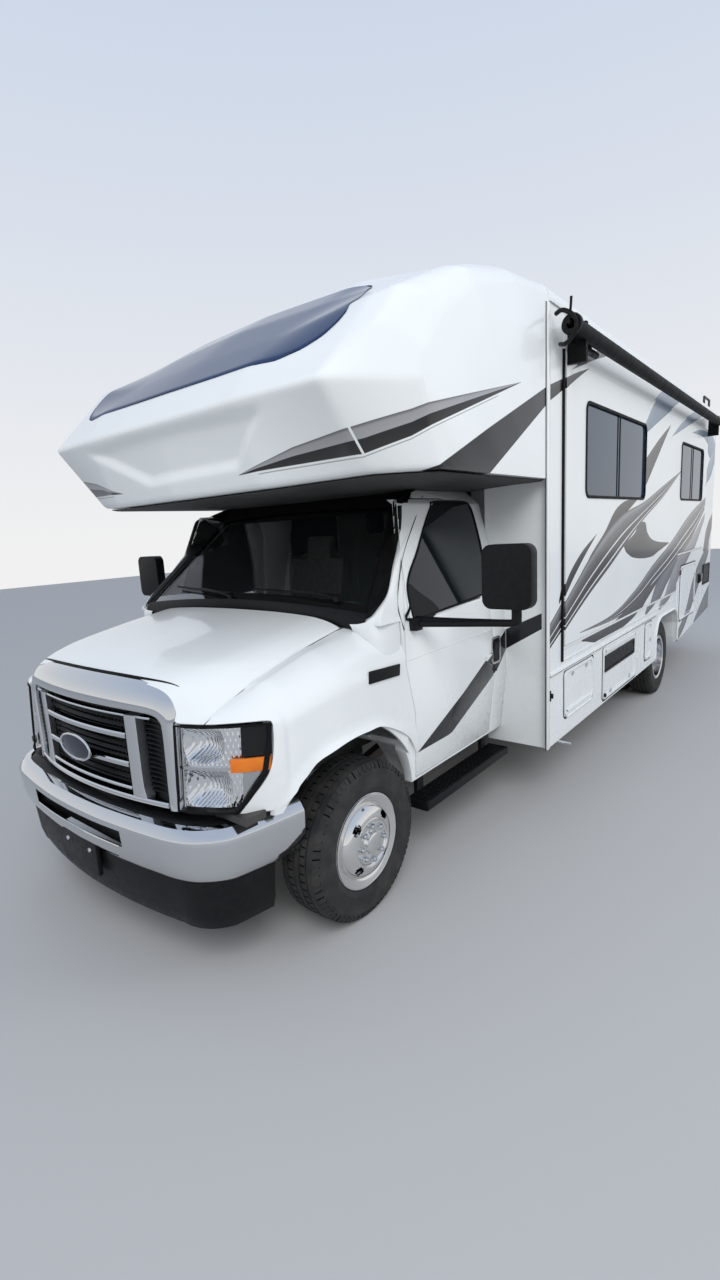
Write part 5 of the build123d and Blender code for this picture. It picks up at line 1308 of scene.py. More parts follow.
def surround():
    """The grille's rolled chrome band."""
    rings = []
    for o, n in zip(outline_of(OUTER), outline_of(INNER)):
        header = eased((o.z - 1.02) / 0.21)
        ring = []
        for share, depth in ((0.0, 0.085), (0.04, 0.06 + 0.01 * header), (0.13, 0.03 + 0.022 * header),
                             (0.3, 0.008 + 0.02 * header), (0.52, 0.002 + 0.006 * header), (0.78, 0.0),
                             (0.93, 0.004), (1.0, 0.014), (1.0, 0.085)):
            p = o.lerp(n, share)
            ring.append((p.x, st(nose_s(p.x) + depth), p.z))
        rings.append(ring)
    return Shape().skin(rings)


gap = [at(p.x * 1.006, nose_s(p.x) + 0.086, p.z + 0.004) for p in outline_of(OUTER)]
place("grille_gap_seal", Shape().bar(gap, 0.0055, 6), seal_black)
place("grille_surround", surround(), chrome, sharp=50, replaces=["grille"])
bars = [bowed_bar(0.352, 0.986, 1.012, 0.006, 0.03), bowed_bar(0.352, 0.862, 0.888, 0.006, 0.03),
        bowed_bar(0.352, 0.762, 0.778, 0.008, 0.03), bowed_bar(0.562, 0.72, 0.744, 0.0, 0.06),
        bowed_bar(0.5, 1.082, 1.092, 0.012, 0.03, 0.003)]
place("grille_bars", joined(*bars), chrome, sharp=40)


def upright(inner, outer, front):
    """A bright upright that spreads towards its foot."""
    rings = []
    near, far = nose_s(inner), nose_s(outer)
    for z, spread in ((0.742, 0.016), (0.76, 0.012), (0.79, 0.003), (0.86, 0), (1.04, 0), (1.095, 0)):
        edge = outer + spread
        rings.append([at(inner, near + 0.05, z), at(inner, near + front + 0.006, z),
                      at(inner + 0.008, near + front, z), at(edge - 0.008, far + front, z),
                      at(edge, far + front + 0.006, z), at(edge, far + 0.05, z)])
    return Shape().skin(rings)


satin = chrome_finish("grille_satin", (0.62, 0.63, 0.64), 0.3)
place("grille_uprights", upright(0.358, 0.424, 0.004).mirrored(), satin)
louvre = Shape().skin([[at(x, nose_s(x) + 0.035 + depth, z) for depth, z in (
    (0.005, 0.0), (0.03, 0.014), (0.03, 0.018), (0.005, 0.005))] for x in (0.43, 0.56)])
side_louvres = repeated(louvre, 15, (0, 0, 0.765), (0, 0, 0.0205))
place("grille_louvres", side_louvres.mirrored(), plastic)
place("grille_field", bowed_bar(0.6, 0.724, 1.15, 0.072, 0.01), frame_black)
slats = repeated(bowed_slat(0.352, 0.034, 0.03, 0.012), 12, (0, 0, 0.772), (0, 0, 0.0285))
place("grille_slats", slats, plastic)


def hexagon(radius, bar, depth):
    """A six-sided cell of the mesh, round the origin."""
    rings = []
    for k in range(6):
        a = pi / 3 * k + pi / 6
        rings.append([(r * cos(a), y, r * sin(a)) for r, y in (
            (radius, 0), (radius - bar, 0), (radius - bar, depth), (radius, depth))])
    return Shape().skin(rings, wrap=True)


CELL = 0.017
CELL_STEP = CELL * 1.732
pair = [repeated(hexagon(CELL, 0.003, 0.006), 24, (-0.345 + CELL_STEP / 2 * odd, 0, CELL * 1.5 * odd),
                 (CELL_STEP, 0, 0)) for odd in (0, 1)]
cells = repeated(joined(*pair), 7, (0, st(-0.735), 0.745), (0, 0, CELL * 3))
place("grille_mesh", cells, plastic)

BADGE_Y, BADGE_Z = st(-0.812), 0.905


def oval(half_w, half_h, count):
    """Points on an oval round the badge's middle, seen from the front."""
    turns = [2 * pi * k / count for k in range(count)]
    return [(half_w * cos(turn), BADGE_Z + half_h * sin(turn)) for turn in turns]


badge_face = Finish("badge_blank", (0.012, 0.018, 0.035), 0.18)
badge_face.bump(badge_face.noise(300.0), 0.05, 0.0004)
badge_plate = Shape().prism(oval(0.128, 0.051, 40), "Y", BADGE_Y - 0.002, BADGE_Y + 0.004)
place("badge_blank", badge_plate, badge_face, bevel=0.0008)
rim_line = [(x, BADGE_Y - 0.001, z) for x, z in oval(0.133, 0.056, 48)]
place("badge_rim", Shape().bar(rim_line, 0.006, 8, closed=True), chrome)

# %% [markdown]
# The bumper is a sheet too: a plan line swept through a pressed profile, with a sharp edge where the
# face turns into the bright upper lip, and the air slot left open.

# %% Bumper, its slot, plate bracket and step ribs
BUMPER_PLAN = [(0, -0.88), (0.2, -0.8748), (0.386, -0.8592), (0.52, -0.843), (0.64, -0.824), (0.735, -0.794),
               (0.8, -0.752), (0.846, -0.706), (0.875, -0.655), (0.9, -0.555), (0.919, -0.45),
               (0.935, -0.345)]
BUMPER_PROFILE = [(0.472, 0.05), (0.47, 0.038), (0.482, 0.028), (0.515, 0.014), (0.56, 0.005), (0.632, 0.0),
                  (0.652, 0.0), (0.66, 0.004), (0.682, 0.022), (0.69, 0.032), (0.694, 0.06), (0.688, 0.074)]
SLOT_HALF = 0.387


def bumper_front(x):
    """Station of the bumper's bowed face."""
    return -0.88 + 0.056 * (x / 0.64) ** 2


def bumper():
    """The pressed face of the bumper, open at its air slot."""
    line = smooth_line([(x, s, 0) for x, s in BUMPER_PLAN])
    plan = flipped(line[1:]) + line
    rows = []
    for i, p in enumerate(plan):
        run = plan[min(i + 1, len(plan) - 1)] - plan[max(i - 1, 0)]
        inward = Vector((-run.y, run.x, 0)).normalized()
        rows.append([at(p.x + inward.x * inset, p.y + inward.y * inset, z) for z, inset in BUMPER_PROFILE])

    def slot(i, j):
        middle = 0.5 * (plan[i].x + plan[i + 1].x)
        return abs(middle) < SLOT_HALF and j == 4
    return Shape().sheet(rows, 0.003, slot)


place("bumper_shell", bumper(), chrome, sharp=30, replaces=["front_bumper"])
PAD_TOP = 0.678
pad_line = smooth_line([(x, s, 0) for x, s in BUMPER_PLAN[:7]])
pad_rings = []
for p in flipped(pad_line[1:]) + pad_line:
    x, y = p.x * (1 - 0.075 / 0.9), st(p.y + 0.066)
    back = (x * 0.93, y + 0.085)
    pad_rings.append([(x, y, 0.655), (x, y, PAD_TOP), (*back, 0.684), (*back, 0.655)])
place("bumper_pad", Shape().skin(pad_rings), plastic, sharp=40)
PAD_RIBS, PAD_RIB_STEP = 35, 0.04
pad_ribs = []
for k in range(PAD_RIBS):
    x = -0.68 + PAD_RIB_STEP * k
    y = st(bumper_front(x) + 0.078)
    pad_ribs.append(Shape().box(x - 0.003, x + 0.003, y, y + 0.06, PAD_TOP, 0.687))
place("bumper_pad_ribs", joined(*pad_ribs), plastic)
place("bumper_slot_back", Shape().box(-0.41, 0.41, st(-0.832), st(-0.825), 0.55, 0.642), plastic)
slot_lip = smooth_path([(x, bumper_front(x) + 0.004, 0.561) for x in (-0.372, -0.19, 0.0, 0.19, 0.372)], 8)
place("bumper_slot_lip", Shape().bar(slot_lip, 0.005, 8), chrome)
bracket = Shape().prism(rounded_box(-0.155, 0.155, 0.345, 0.5, 0.012), "Y", st(-0.858), st(-0.838))
place("plate_bracket", bracket, plastic, bevel=0.003)
stud = Shape().lathe([(-0.004, 0), (-0.004, 0.009), (0, 0.011), (0.004, 0.011), (0.004, 0)], (0, 0, 0),
                     "Y", 12)
place("plate_bracket_studs", repeated(stud, 2, (-0.1, st(-0.86), 0.46), (0.2, 0, 0)), steel)
step_rib = Shape().box(0.885, 0.995, -0.004, 0.004, 0, 0.005)
step_ribs = repeated(step_rib, 36, (0, st(0.49), 0.3695), (0, 0.026, 0))
place("step_ribs", step_ribs.mirrored(), plastic)

# %% [markdown]
# Under the windscreen lies the cowl, a plain black panel between bonnet and glass, and two wipers are
# parked on the glass over it.

# %% Cowl and wipers
HOOD_FLAT = 0.646
COWL_HALF, COWL_STEPS = 0.9, 40
BLADE_STEPS, WIPER_LIFT = 12, 0.014


def hood_rear_z(x):
    """Height of the bonnet's rear edge."""
    over = abs(x) - HOOD_FLAT
    return 1.395 - 0.025 * (x / HOOD_FLAT) ** 2 if over < 0 else 1.37 - 0.025 * over / 0.12


def cowl():
    """The panel from under the bonnet's edge up to the glass."""
    rings = []
    for k in range(COWL_STEPS + 1):
        x = -COWL_HALF + 2 * COWL_HALF * k / COWL_STEPS
        end = min(abs(x) / 0.5, 1.0)
        low_z = min(hood_rear_z(min(abs(x), 0.766)) - 0.014 + 0.01 * end, 1.405)
        foot = SCREEN_FOOT_Z - SCREEN_FOOT_FALL * (x / SCREEN_FOOT_HALF) ** 2
        high = screen_point(x, foot + 0.012, 0.006)
        low = at(x, 0.165 - 0.012 * end, low_z)
        mid = low.lerp(high, 0.5) + Vector((0, 0.002 - 0.006 * end, 0.004 + 0.004 * end))
        rings.append([low, mid, high, high - Vector((0, -0.004, 0.012)), low - Vector((0, -0.002, 0.012))])
    return Shape().skin(rings)


place("cowl", cowl(), plastic, sharp=50)


def wiper(x_pivot, x_tip, x_start):
    """An arm from its pivot to the middle of a blade that lies on the glass."""
    blade = []
    for k in range(BLADE_STEPS + 1):
        x, z = x_start + (x_tip - x_start) * k / BLADE_STEPS, 1.474 + 0.024 * k / BLADE_STEPS
        blade.append(screen_point(x, z, WIPER_LIFT))
    pivot = screen_point(x_pivot, 1.458, WIPER_LIFT)
    middle = blade[BLADE_STEPS // 2]
    arm = [pivot, pivot.lerp(middle, 0.35) + Vector((0, -0.006, 0.012)), middle + Vector((0, -0.005, 0.008))]
    return joined(Shape().bar(blade, 0.007, 6), Shape().bar(smooth_line(arm, 6), 0.0065, 8),
                  Shape().lathe([(-0.012, 0), (-0.012, 0.014), (0.008, 0.016), (0.008, 0)], pivot, "Z", 16))


place("wipers", joined(wiper(0.7, 0.1, 0.7), wiper(-0.05, -0.66, -0.06)), plastic)

# %% [markdown]
# Polished covers sit on the wheels. The front one is a dome with four hand holes, a raised ring and eight
# capped nuts; the rear one is a deep dish. Both are turned, then the nuts are repeated round the axle.

# %% Wheel covers
cover_chrome = chrome_finish("cover_chrome", (0.78, 0.77, 0.75), 0.07)


def turned_cover(x, y, side, profile, hole_rows, steps=96, holes=4):
    """A thin turned cover with hand holes: they are wider in their middle rows."""
    rows = []
    for i in range(steps):
        turn = 2 * pi * i / steps
        rows.append([(x + side * a, y + r * cos(turn), TYRE_R + r * sin(turn)) for a, r in profile])
    rows.append(rows[0])
    sector = steps / holes

    def hand_hole(i, j):
        reach = 3.0 if j in hole_rows[1:-1] else 2.0
        return j in hole_rows and abs((i + 0.5) % sector - sector / 2) < reach
    return Shape().sheet(rows, 0.002, hand_hole)


def nuts(x, y, side, ring, base, tip, radius):
    """Capped nuts on a ring round the axle, from their base out to their tip."""
    nut = Shape().lathe([(side * base, 0), (side * base, radius), (side * (tip - 0.012), radius * 0.92),
                         (side * (tip - 0.003), radius * 0.6), (side * tip, 0)], (0, 0, ring), "X", 12)
    return round_axle(nut, NUTS, x, y)


FRONT_COVER = [(0.09, 0.2205), (0.1015, 0.2185), (0.1035, 0.212), (0.1005, 0.205), (0.0965, 0.186),
               (0.09, 0.176), (0.0905, 0.172), (0.102, 0.166), (0.112, 0.156), (0.1175, 0.146),
               (0.1215, 0.136), (0.1245, 0.128), (0.1262, 0.12), (0.1262, 0.115), (0.122, 0.112),
               (0.124, 0.108), (0.1215, 0.104), (0.1165, 0.101), (0.116, 0.056), (0.122, 0.05),
               (0.1345, 0.047), (0.139, 0.04), (0.1405, 0.015), (0.1405, 0.001)]
REAR_COVER = [(0.09, 0.2205), (0.1015, 0.2185), (0.1035, 0.212), (0.098, 0.204), (0.07, 0.196),
              (0.02, 0.188), (-0.01, 0.178), (-0.016, 0.166), (-0.012, 0.152), (-0.004, 0.136),
              (-0.001, 0.12), (0.0, 0.078), (0.012, 0.07), (0.07, 0.066), (0.086, 0.058), (0.09, 0.03),
              (0.09, 0.001)]
NUT_R, NUTS = 0.0145, 8
for word, side in SIDES:
    for end, body, x, y, profile, hole_rows, nut_place in (
            ("front", f"front_wheel_{word}_body", side * FRONT_TYRE_X, AXLE_Y, FRONT_COVER, (8, 9, 10, 11),
             (0.08, 0.112, 0.146)),
            ("rear", f"rear_wheels_{word}_body", side * OUTER_TYRE_X, REAR_AXLE_Y, REAR_COVER, (8, 9, 10),
             (0.1, -0.006, 0.03))):
        cover = turned_cover(x, y, side, profile, hole_rows)
        place(f"{end}_cover_{word}", cover, cover_chrome, body, sharp=32)
        place(f"{end}_nuts_{word}", nuts(x, y, side, *nut_place, NUT_R), chrome, body)

# %% [markdown]
# The windscreen's black surround reaches on over the pillars and up to the roof; above the glass it is partly
# the black rail and partly painted shade under the cap. It is laid on the cab by rays, so that it follows the
# metal. The cap's underside is a dark panel set in from its edges, which is painted shade under the cap.

# %% Windscreen surround and the painted shade under the cap
CAB_SURFACE = surface_of(*[frame["nodes"][node].data for node in (
    "cab_shell", "cab_door_left", "cab_door_right", "fixed_glass")])


def laid(point, away, lift):
    """The cab's surface under a point, looked for along a direction, and lifted off it."""
    away = Vector(away).normalized()
    hit = CAB_SURFACE.ray_cast(Vector(point) + 0.15 * away, -away, 0.165)[0]
    return (Vector(point) if hit is None else hit) + lift * away


PILLAR = [((0.66, 0.735, 1.93), (0.772, 0.792, 1.955)), ((0.681, 0.723, 1.905), (0.767, 0.774, 1.938)),
          ((0.729, 0.601, 1.787), (0.806, 0.668, 1.83)), ((0.781, 0.473, 1.663), (0.852, 0.525, 1.702)),
          ((0.829, 0.341, 1.534), (0.893, 0.415, 1.605)), ((0.873, 0.231, 1.426), (0.938, 0.3, 1.48)),
          ((0.895, 0.18, 1.385), (0.94, 0.215, 1.42)), ((0.895, 0.168, 1.364), (0.925, 0.182, 1.385))]


def surround_grid(lines, away, lift, across):
    """A grid between two lines, laid on the cab and nowhere below the straight line across it."""
    inner, outer = (smooth_path(line, 5) for line in zip(*lines))
    grid = []
    for p, q in zip(inner, outer):
        row = [laid(p.lerp(q, k / across), away, lift) for k in range(across + 1)]
        chord = [row[0].lerp(row[-1], k / across) for k in range(across + 1)]
        grid.append([a if (a - b).dot(Vector(away)) > -0.001 else b for a, b in zip(row, chord)])
    return grid


def slab(rows, drop):
    """A thin closed piece: the rows of points, and the same rows shifted."""
    return Shape().skin([row + [p + Vector(drop) for p in reversed(row)] for row in rows])


pillars = slab(surround_grid(PILLAR, (0.55, -0.8, 0.35), 0.01, 16), (-0.001, 0.002, 0)).mirrored()
# Above the glass this black strip runs up to the roof: partly the black rail, and higher up painted shade
# under the cap.
HEADER_AND_SHADE = [((0.8 - 0.1 * k, 0.7, 1.883), (0.8 - 0.1 * k, 0.8, 1.972)) for k in range(17)]
header_strip_and_shade = slab(surround_grid(HEADER_AND_SHADE, (0, -0.75, 0.65), 0.01, 4), (0, 0.002, 0))
place("windscreen_surround_and_shade", joined(pillars, header_strip_and_shade), seal_black, sharp=60)
CORNER_IN = [(0.815, 0.15, 1.346), (0.88, 0.15, 1.352), (0.932, 0.162, 1.372), (0.952, 0.215, 1.415),
             (0.948, 0.285, 1.475), (0.918, 0.372, 1.56), (0.88, 0.475, 1.67), (0.834, 0.68, 1.838)]
CORNER_OUT = [(0.835, 0.15, 1.322), (0.915, 0.15, 1.305), (0.975, 0.19, 1.285), (0.984, 0.31, 1.3),
              (0.972, 0.328, 1.41), (0.938, 0.388, 1.532), (0.903, 0.488, 1.672), (0.842, 0.698, 1.842)]
foot = [on_wing(at(x, s, 1.8), at(x, s, 0.5), at(x, s, z), 0.0035) for x, s, z in CORNER_OUT[:4]]
corner_outer = smooth_line(foot + [at(*point) for point in CORNER_OUT[4:]], 5)
FOOT_LIFT, FOOT_STEPS = Vector((0.005, -0.004, 0.003)), 6
corner_rows = []
for p, q in zip(smooth_path(CORNER_IN, 5), corner_outer):
    corner_rows.append([p.lerp(q, k / FOOT_STEPS) + FOOT_LIFT * (1 - k / 6.5 + sin(pi * k / FOOT_STEPS))
                        for k in range(FOOT_STEPS + 1)])
place("pillar_foot", Shape().sheet(corner_rows, 0.003).mirrored(), van_white, sharp=60)
UNDER = [(0.0, -0.12, 1.975), (0.6, -0.08, 1.98), (1.05, 0.085, 2.003), (1.15, 0.17, 2.004),
         (1.215, 0.24, 2.006), (1.24, 0.3, 2.01)]
UNDER_REAR, UNDER_STEPS = 1.425, 6
under_rows = []
for x, s, z in [(-x, s, z) for x, s, z in reversed(UNDER[1:])] + UNDER:
    under_rows.append([at(x, s + (UNDER_REAR - s) * k / UNDER_STEPS, z - 0.006)
                       for k in range(UNDER_STEPS + 1)])
# Painted shade: a dark sheet under the cap, where the overhang shades the cab, over the cap's white shell.
under_cap_painted_shade = coarse_finish("cap_underside_painted_shade", (0.035, 0.034, 0.033), (0.055, 0.053, 0.05), 0.7, 30.0, 0.001)
place("cap_underside_painted_shade", Shape().sheet(under_rows, 0.003), under_cap_painted_shade)

# %% [markdown]
# The cab door's glass runs further back than its opening in the frame, so the dark pane is laid on the
# door, with a white panel in front of it, a black sail for the mirror's foot, and the seal round it.

# %% Cab door glass, sail and mirror arm
CAB_OUTLINE = [(0.5, 0.96), (0.86, 1.0), (1.15, 1.0), (1.34, 0.985), (1.9, 0.83), (1.985, 0.74)]
PANE_FRONT = [(0.426, 1.34), (0.43, 1.404), (0.446, 1.49), (0.5, 1.56), (0.608, 1.652), (0.738, 1.778),
              (0.85, 1.876), (0.912, 1.91)]
PANE_REAR = [(1.222, 1.382), (1.246, 1.42), (1.268, 1.5), (1.292, 1.6), (1.305, 1.7), (1.308, 1.83),
             (1.292, 1.888), (1.243, 1.914)]
OPENING_FRONT = [(0.405, 1.346), (0.412, 1.404), (0.43, 1.49), (0.448, 1.56), (0.47, 1.652), (0.51, 1.778),
                 (0.545, 1.886), (0.56, 1.912)]


def on_door(s, z, lift):
    """A point on the left door's outer face, lifted off it."""
    return at(between(CAB_OUTLINE, z) + lift, s, z)


def place_on_door(stem, word, side, shape, finish, **how):
    """Places a piece that is drawn for the left cab door on the door of a side."""
    return place(f"{stem}_{word}", sided(shape, side), finish, f"cab_door_{word}_body", **how)


def door_sheet(front, rear, lift, across=16):
    """A panel on the door between two upright lines."""
    ahead = smooth_line([(0, s, z) for s, z in front], 4)
    behind = smooth_line([(0, s, z) for s, z in rear], 4)
    grid = [[p.lerp(q, k / across) for k in range(across + 1)] for p, q in zip(ahead, behind)]
    rows = [[on_door(p.y, p.z, lift) for p in row] for row in grid]
    return Shape().sheet(rows, 0.002)


SAIL_TOP = [(0.432, 1.42), (0.455, 1.51), (0.528, 1.462), (0.61, 1.412), (0.668, 1.362)]
SAIL_FOOT = [(0.428, 1.335), (0.45, 1.318), (0.5, 1.312), (0.56, 1.318), (0.62, 1.334)]
MIRROR_ARM = [(0.985, 0.452, 1.336), (1.12, 0.48, 1.33), (1.3, 0.52, 1.326), (1.455, 0.552, 1.326),
              (1.47, 0.556, 1.345), (1.47, 0.556, 1.4)]
DOOR_SEAM = [(0.345, 1.3), (0.335, 1.418), (0.4, 1.531), (0.5, 1.659), (0.698, 1.837), (0.868, 1.946)]
for word, side in SIDES:
    pane = door_sheet(PANE_FRONT, PANE_REAR, 0.006)
    place_on_door("door_pane", word, side, pane, door_glass, sharp=60)
    panel = door_sheet(OPENING_FRONT, PANE_FRONT, 0.005)
    place_on_door("door_pillar_panel", word, side, panel, van_white, sharp=60)
    ring = smooth_line([on_door(s, z, 0.007) for s, z in PANE_FRONT + PANE_REAR[::-1]], 4, closed=True)
    place_on_door("door_pane_seal", word, side, Shape().bar(ring, 0.0065, 6, closed=True), seal_black)
    sail = door_sheet(SAIL_TOP, SAIL_FOOT, 0.012, 6)
    arm = Shape().bar(smooth_path(MIRROR_ARM, 5), 0.0175, 10)
    place_on_door("mirror_arm", word, side, joined(sail, arm), plastic)
    seam = smooth_line([on_door(s, z, 0.004) for s, z in DOOR_SEAM], 5)
    place_on_door("door_seam", word, side, Shape().bar(seam, 0.0022, 6), seal_black)

# %% [markdown]
# Along the coach's side run the small things that give it its scale: the white corner moulding with a
# painted shadow line on each side, the rub rails with a painted shadow between them, the lip of the wheel
# arch, and the slide-out's seal and trim.

# %% Corner mouldings, seals, rub rails and arch lips
SUNK = 0.001


def side_bar(s0, s1, z0, z1, out):
    """A flat bar on the coach's side, set into it a little."""
    return Shape().box(COACH_HALF - SUNK, COACH_HALF + out, st(s0), st(s1), z0, z1)


def place_bars(name, finish, bevel, *bars):
    """One piece from flat bars on the left side."""
    return place(name, joined(*[side_bar(*bar) for bar in bars]), finish, bevel=bevel)


corner = side_bar(1.393, 1.429, 0.404, 2.925, 0.011)
place("corner_mouldings", corner.mirrored(), coach_white, bevel=0.003)
gap_line = side_bar(1.387, 1.435, 0.404, 2.925, 0.0025)
place("corner_shadow_lines", gap_line.mirrored(), seal_black)
place_bars("rub_rails_left", coach_white, 0.002, (1.437, 4.085, 0.853, 0.87, 0.013),
           (1.437, 4.085, 0.838, 0.844, 0.007))
# Painted shadow: a thin black bar between the two rails, where the upper rail shades the wall.
place_bars("rub_rail_painted_shadow_left", seal_black, 0.0, (1.437, 4.085, 0.844, 0.853, 0.0015))
place_bars("side_marker_clip", plastic, 0.003, (1.438, 1.452, 0.7, 0.765, 0.012),
           (1.452, 1.466, 0.715, 0.745, 0.02))
place("drain_pipe", Shape().bar([at(1.1, 1.6, 0.398), at(1.35, 1.6, 0.392)], 0.01, 16), steel)
rails = joined(*[side_bar(s0, s1, 0.851, 0.866, 0.008) for s0, s1 in (
    (1.43, 2.7), (3.5, 4.085), (5.07, 6.9))])
place("rub_rails_right", sided(rails, -1), coach_white, bevel=0.002)
ARCH_LIP = [(4.098, 0.43), (4.098, 0.62), (4.104, 0.66), (4.158, 0.752), (4.19, 0.775), (4.278, 0.808),
            (4.35, 0.812), (4.8, 0.812), (4.873, 0.808), (4.96, 0.775), (4.992, 0.752), (5.046, 0.66),
            (5.053, 0.62), (5.053, 0.45)]
arch_lip = smooth_path([(COACH_HALF + 0.002, s, z) for s, z in ARCH_LIP], 4)
place("arch_lips", Shape().bar(arch_lip, 0.011, 8).mirrored(), coach_white)

# The slide-out shows a black bulb seal at its front edge and white trim along its foot.
place_bars("slide_bulb_seal", seal_black, 0.003, (1.634, 1.655, 0.905, 2.735, 0.012))
place_bars("slide_foot_trim", coach_white, 0.002, (1.66, 4.86, 0.982, 0.998, 0.009),
           (4.845, 6.28, 1.36, 1.376, 0.009), (4.846, 4.86, 0.982, 1.376, 0.009),
           (1.66, 4.86, 0.905, 0.913, 0.006))

# %% [markdown]
# Each locker door gets a raised rim and round quarter-turn latches away from its hinge, as its real one has.
# A black ring round it on the wall is painted shade in the gap round the door. The rim and latches ride with
# their door.

# %% Locker doors
LOCKERS = {
    "cargo_door_front_body": (1, (1.6895, 2.2593), (0.52, 0.83), [(1.84, 0.795), (2.11, 0.795)]),
    "cargo_door_mid_body": (1, (2.4813, 3.3988), (0.43, 0.84), [(2.68, 0.468), (3.2, 0.468)]),
    "service_door_body": (1, (3.6904, 3.9204), (0.49, 0.83), [(3.885, 0.66)]),
    "utility_door_body": (1, (5.105, 5.93), (0.64, 1.23), [(5.895, 0.78), (5.895, 1.09)]),
    "cargo_door_right_body": (-1, (1.6895, 2.4198), (0.43, 0.84), [(1.86, 0.468), (2.25, 0.468)])}


def wall_ring(s0, s1, z0, z1, grow_out, grow_in, out, radius=0.028):
    """A raised frame on the coach's side, between two outlines grown from a rectangle."""
    outer = rounded_box(st(s0) - grow_out, st(s1) + grow_out, z0 - grow_out, z1 + grow_out, radius)
    inner = rounded_box(st(s0) - grow_in, st(s1) + grow_in, z0 - grow_in, z1 + grow_in, radius - 0.004)
    return Shape().ring(outer, inner, "X", COACH_HALF - SUNK, COACH_HALF + out)


def latch(s, z):
    """A round quarter-turn latch with its raised grip."""
    knob = Shape().lathe([(-0.002, 0), (-0.002, 0.021), (0.004, 0.021), (0.006, 0.018), (0.005, 0.012),
                          (0.009, 0.011), (0.009, 0)], at(COACH_HALF, s, z), "X", 24)
    return joined(knob, Shape().box(COACH_HALF + 0.008, COACH_HALF + 0.011, st(s) - 0.01, st(s) + 0.01,
                                    z - 0.0022, z + 0.0022))


for body, (side, (s0, s1), (z0, z1), latches) in LOCKERS.items():
    stem = body.removesuffix("_body")
    rim = joined(wall_ring(s0, s1, z0, z1, -0.003, -0.023, 0.008, 0.055),
                 wall_ring(s0, s1, z0, z1, -0.04, -0.044, 0.0022, 0.03))
    place(stem + "_rim", sided(rim, side), coach_white, body, bevel=0.001)
    # A black ring on the wall round the door: painted shade in the gap round it.
    place(stem + "_gasket", sided(wall_ring(s0, s1, z0, z1, 0.011, 0.002, 0.0015, 0.05), side), seal_black)
    place(stem + "_latches", sided(joined(*[latch(s, z) for s, z in latches]), side), steel, body,
          bevel=0.0008, slot="cast_metal")

# The front locker drops down, on a knuckled hinge along its foot. The middle one lifts, hinged at its head.
KNUCKLE_STEP = 0.054
for body, s0, s1, z in (("cargo_door_front_body", 1.745, 2.205, 0.549),
                        ("cargo_door_mid_body", 2.545, 3.335, 0.797)):
    knuckle = Shape().box(COACH_HALF, COACH_HALF + 0.014, 0, 0.04, z, z + 0.016)
    knuckles = repeated(knuckle, int((s1 - s0) / KNUCKLE_STEP), (0, st(s0), 0), (0, KNUCKLE_STEP, 0))
    rail = joined(knuckles, side_bar(s0, s1, z + 0.003, z + 0.013, 0.008))
    place(body.removesuffix("_body") + "_hinge_rail", rail, coach_white, body)
knob = Shape().lathe([(0, 0), (0, 0.017), (0.02, 0.015), (0.024, 0)], at(COACH_HALF, 2.512, 0.47), "X", 20)
place("cargo_door_mid_knob", knob, plastic, "cargo_door_mid_body")

# %% [markdown]
# Vents are black frames with sloping blades. The repeat tree makes the blades.

# %% Vents and outlets on the coach


def vent(s0, s1, z0, z1, pitch=0.024, out=0.01):
    """A frame with a dark back and a row of blades."""
    frame_part = wall_ring(s0, s1, z0, z1, 0.0, -0.016, out, 0.012)
    back = side_bar(s0 + 0.006, s1 - 0.006, z0 + 0.006, z1 - 0.006, 0.002)
    blade = Shape().skin([[(COACH_HALF + 0.002, y, 0.004), (COACH_HALF + 0.003, y, 0.01),
                           (COACH_HALF + out - 0.002, y, -0.004), (COACH_HALF + out - 0.003, y, -0.009)]
                          for y in (st(s0 + 0.014), st(s1 - 0.014))])
    count = int((z1 - z0 - 0.04) / pitch)
    blades = repeated(blade, count, (0, 0, z0 + 0.034), (0, 0, pitch))
    return joined(frame_part, back, blades)


place("mid_locker_vent", vent(2.52, 3.33, 0.64, 0.765, 0.022, 0.008), plastic, "cargo_door_mid_body")
place("rear_vent_left", vent(6.43, 6.86, 0.9, 1.15), plastic)
right_vents = joined(vent(5.48, 5.9, 1.02, 1.36), vent(5.48, 5.9, 2.42, 2.66), vent(3.8, 4.05, 1.0, 1.22))
place("vents_right", sided(right_vents, -1), plastic)
small_doors = joined(wall_ring(6.2, 6.56, 1.02, 1.34, 0.0, -0.012, 0.004),
                     wall_ring(4.35, 4.6, 1.05, 1.22, 0.0, -0.01, 0.004))
place("outlet_doors_right", sided(small_doors, -1), coach_white, bevel=0.001)
place_bars("power_inlet_left", plastic, 0.004, (6.14, 6.26, 0.95, 1.06, 0.012),
           (6.155, 6.245, 0.965, 1.045, 0.024))

# %% [markdown]
# The rolled cover over the slide-out hangs on an arm at each end. The front one carries a spring drum, a
# hook and a black motor box.

# %% Slide topper fittings
DRUM_AT = at(1.385, 1.446, 2.8)
drum = Shape().lathe([(0, 0), (0, 0.05), (0.008, 0.055), (0.03, 0.055), (0.036, 0.048), (0.036, 0)],
                     DRUM_AT, "Y", 40)
peg = Shape().lathe([(-0.04, 0), (-0.04, 0.01), (0, 0.012), (0, 0)], DRUM_AT, "Y", 16)
HOOK = [(1.3, 1.455, 2.87), (1.345, 1.43, 2.872), (1.4, 1.428, 2.835), (1.418, 1.43, 2.78),
        (1.395, 1.44, 2.73), (1.345, 1.47, 2.712), (1.3, 1.52, 2.73)]
hook = Shape().bar(smooth_path(HOOK), 0.012, 8)
rod = Shape().bar([at(1.385, 1.43, 2.835), at(1.4, 1.4, 2.885), at(1.405, 1.39, 2.915)], 0.007, 8)
place("topper_drum", joined(drum, peg, hook, rod), plastic, "slide_out", sharp=30)
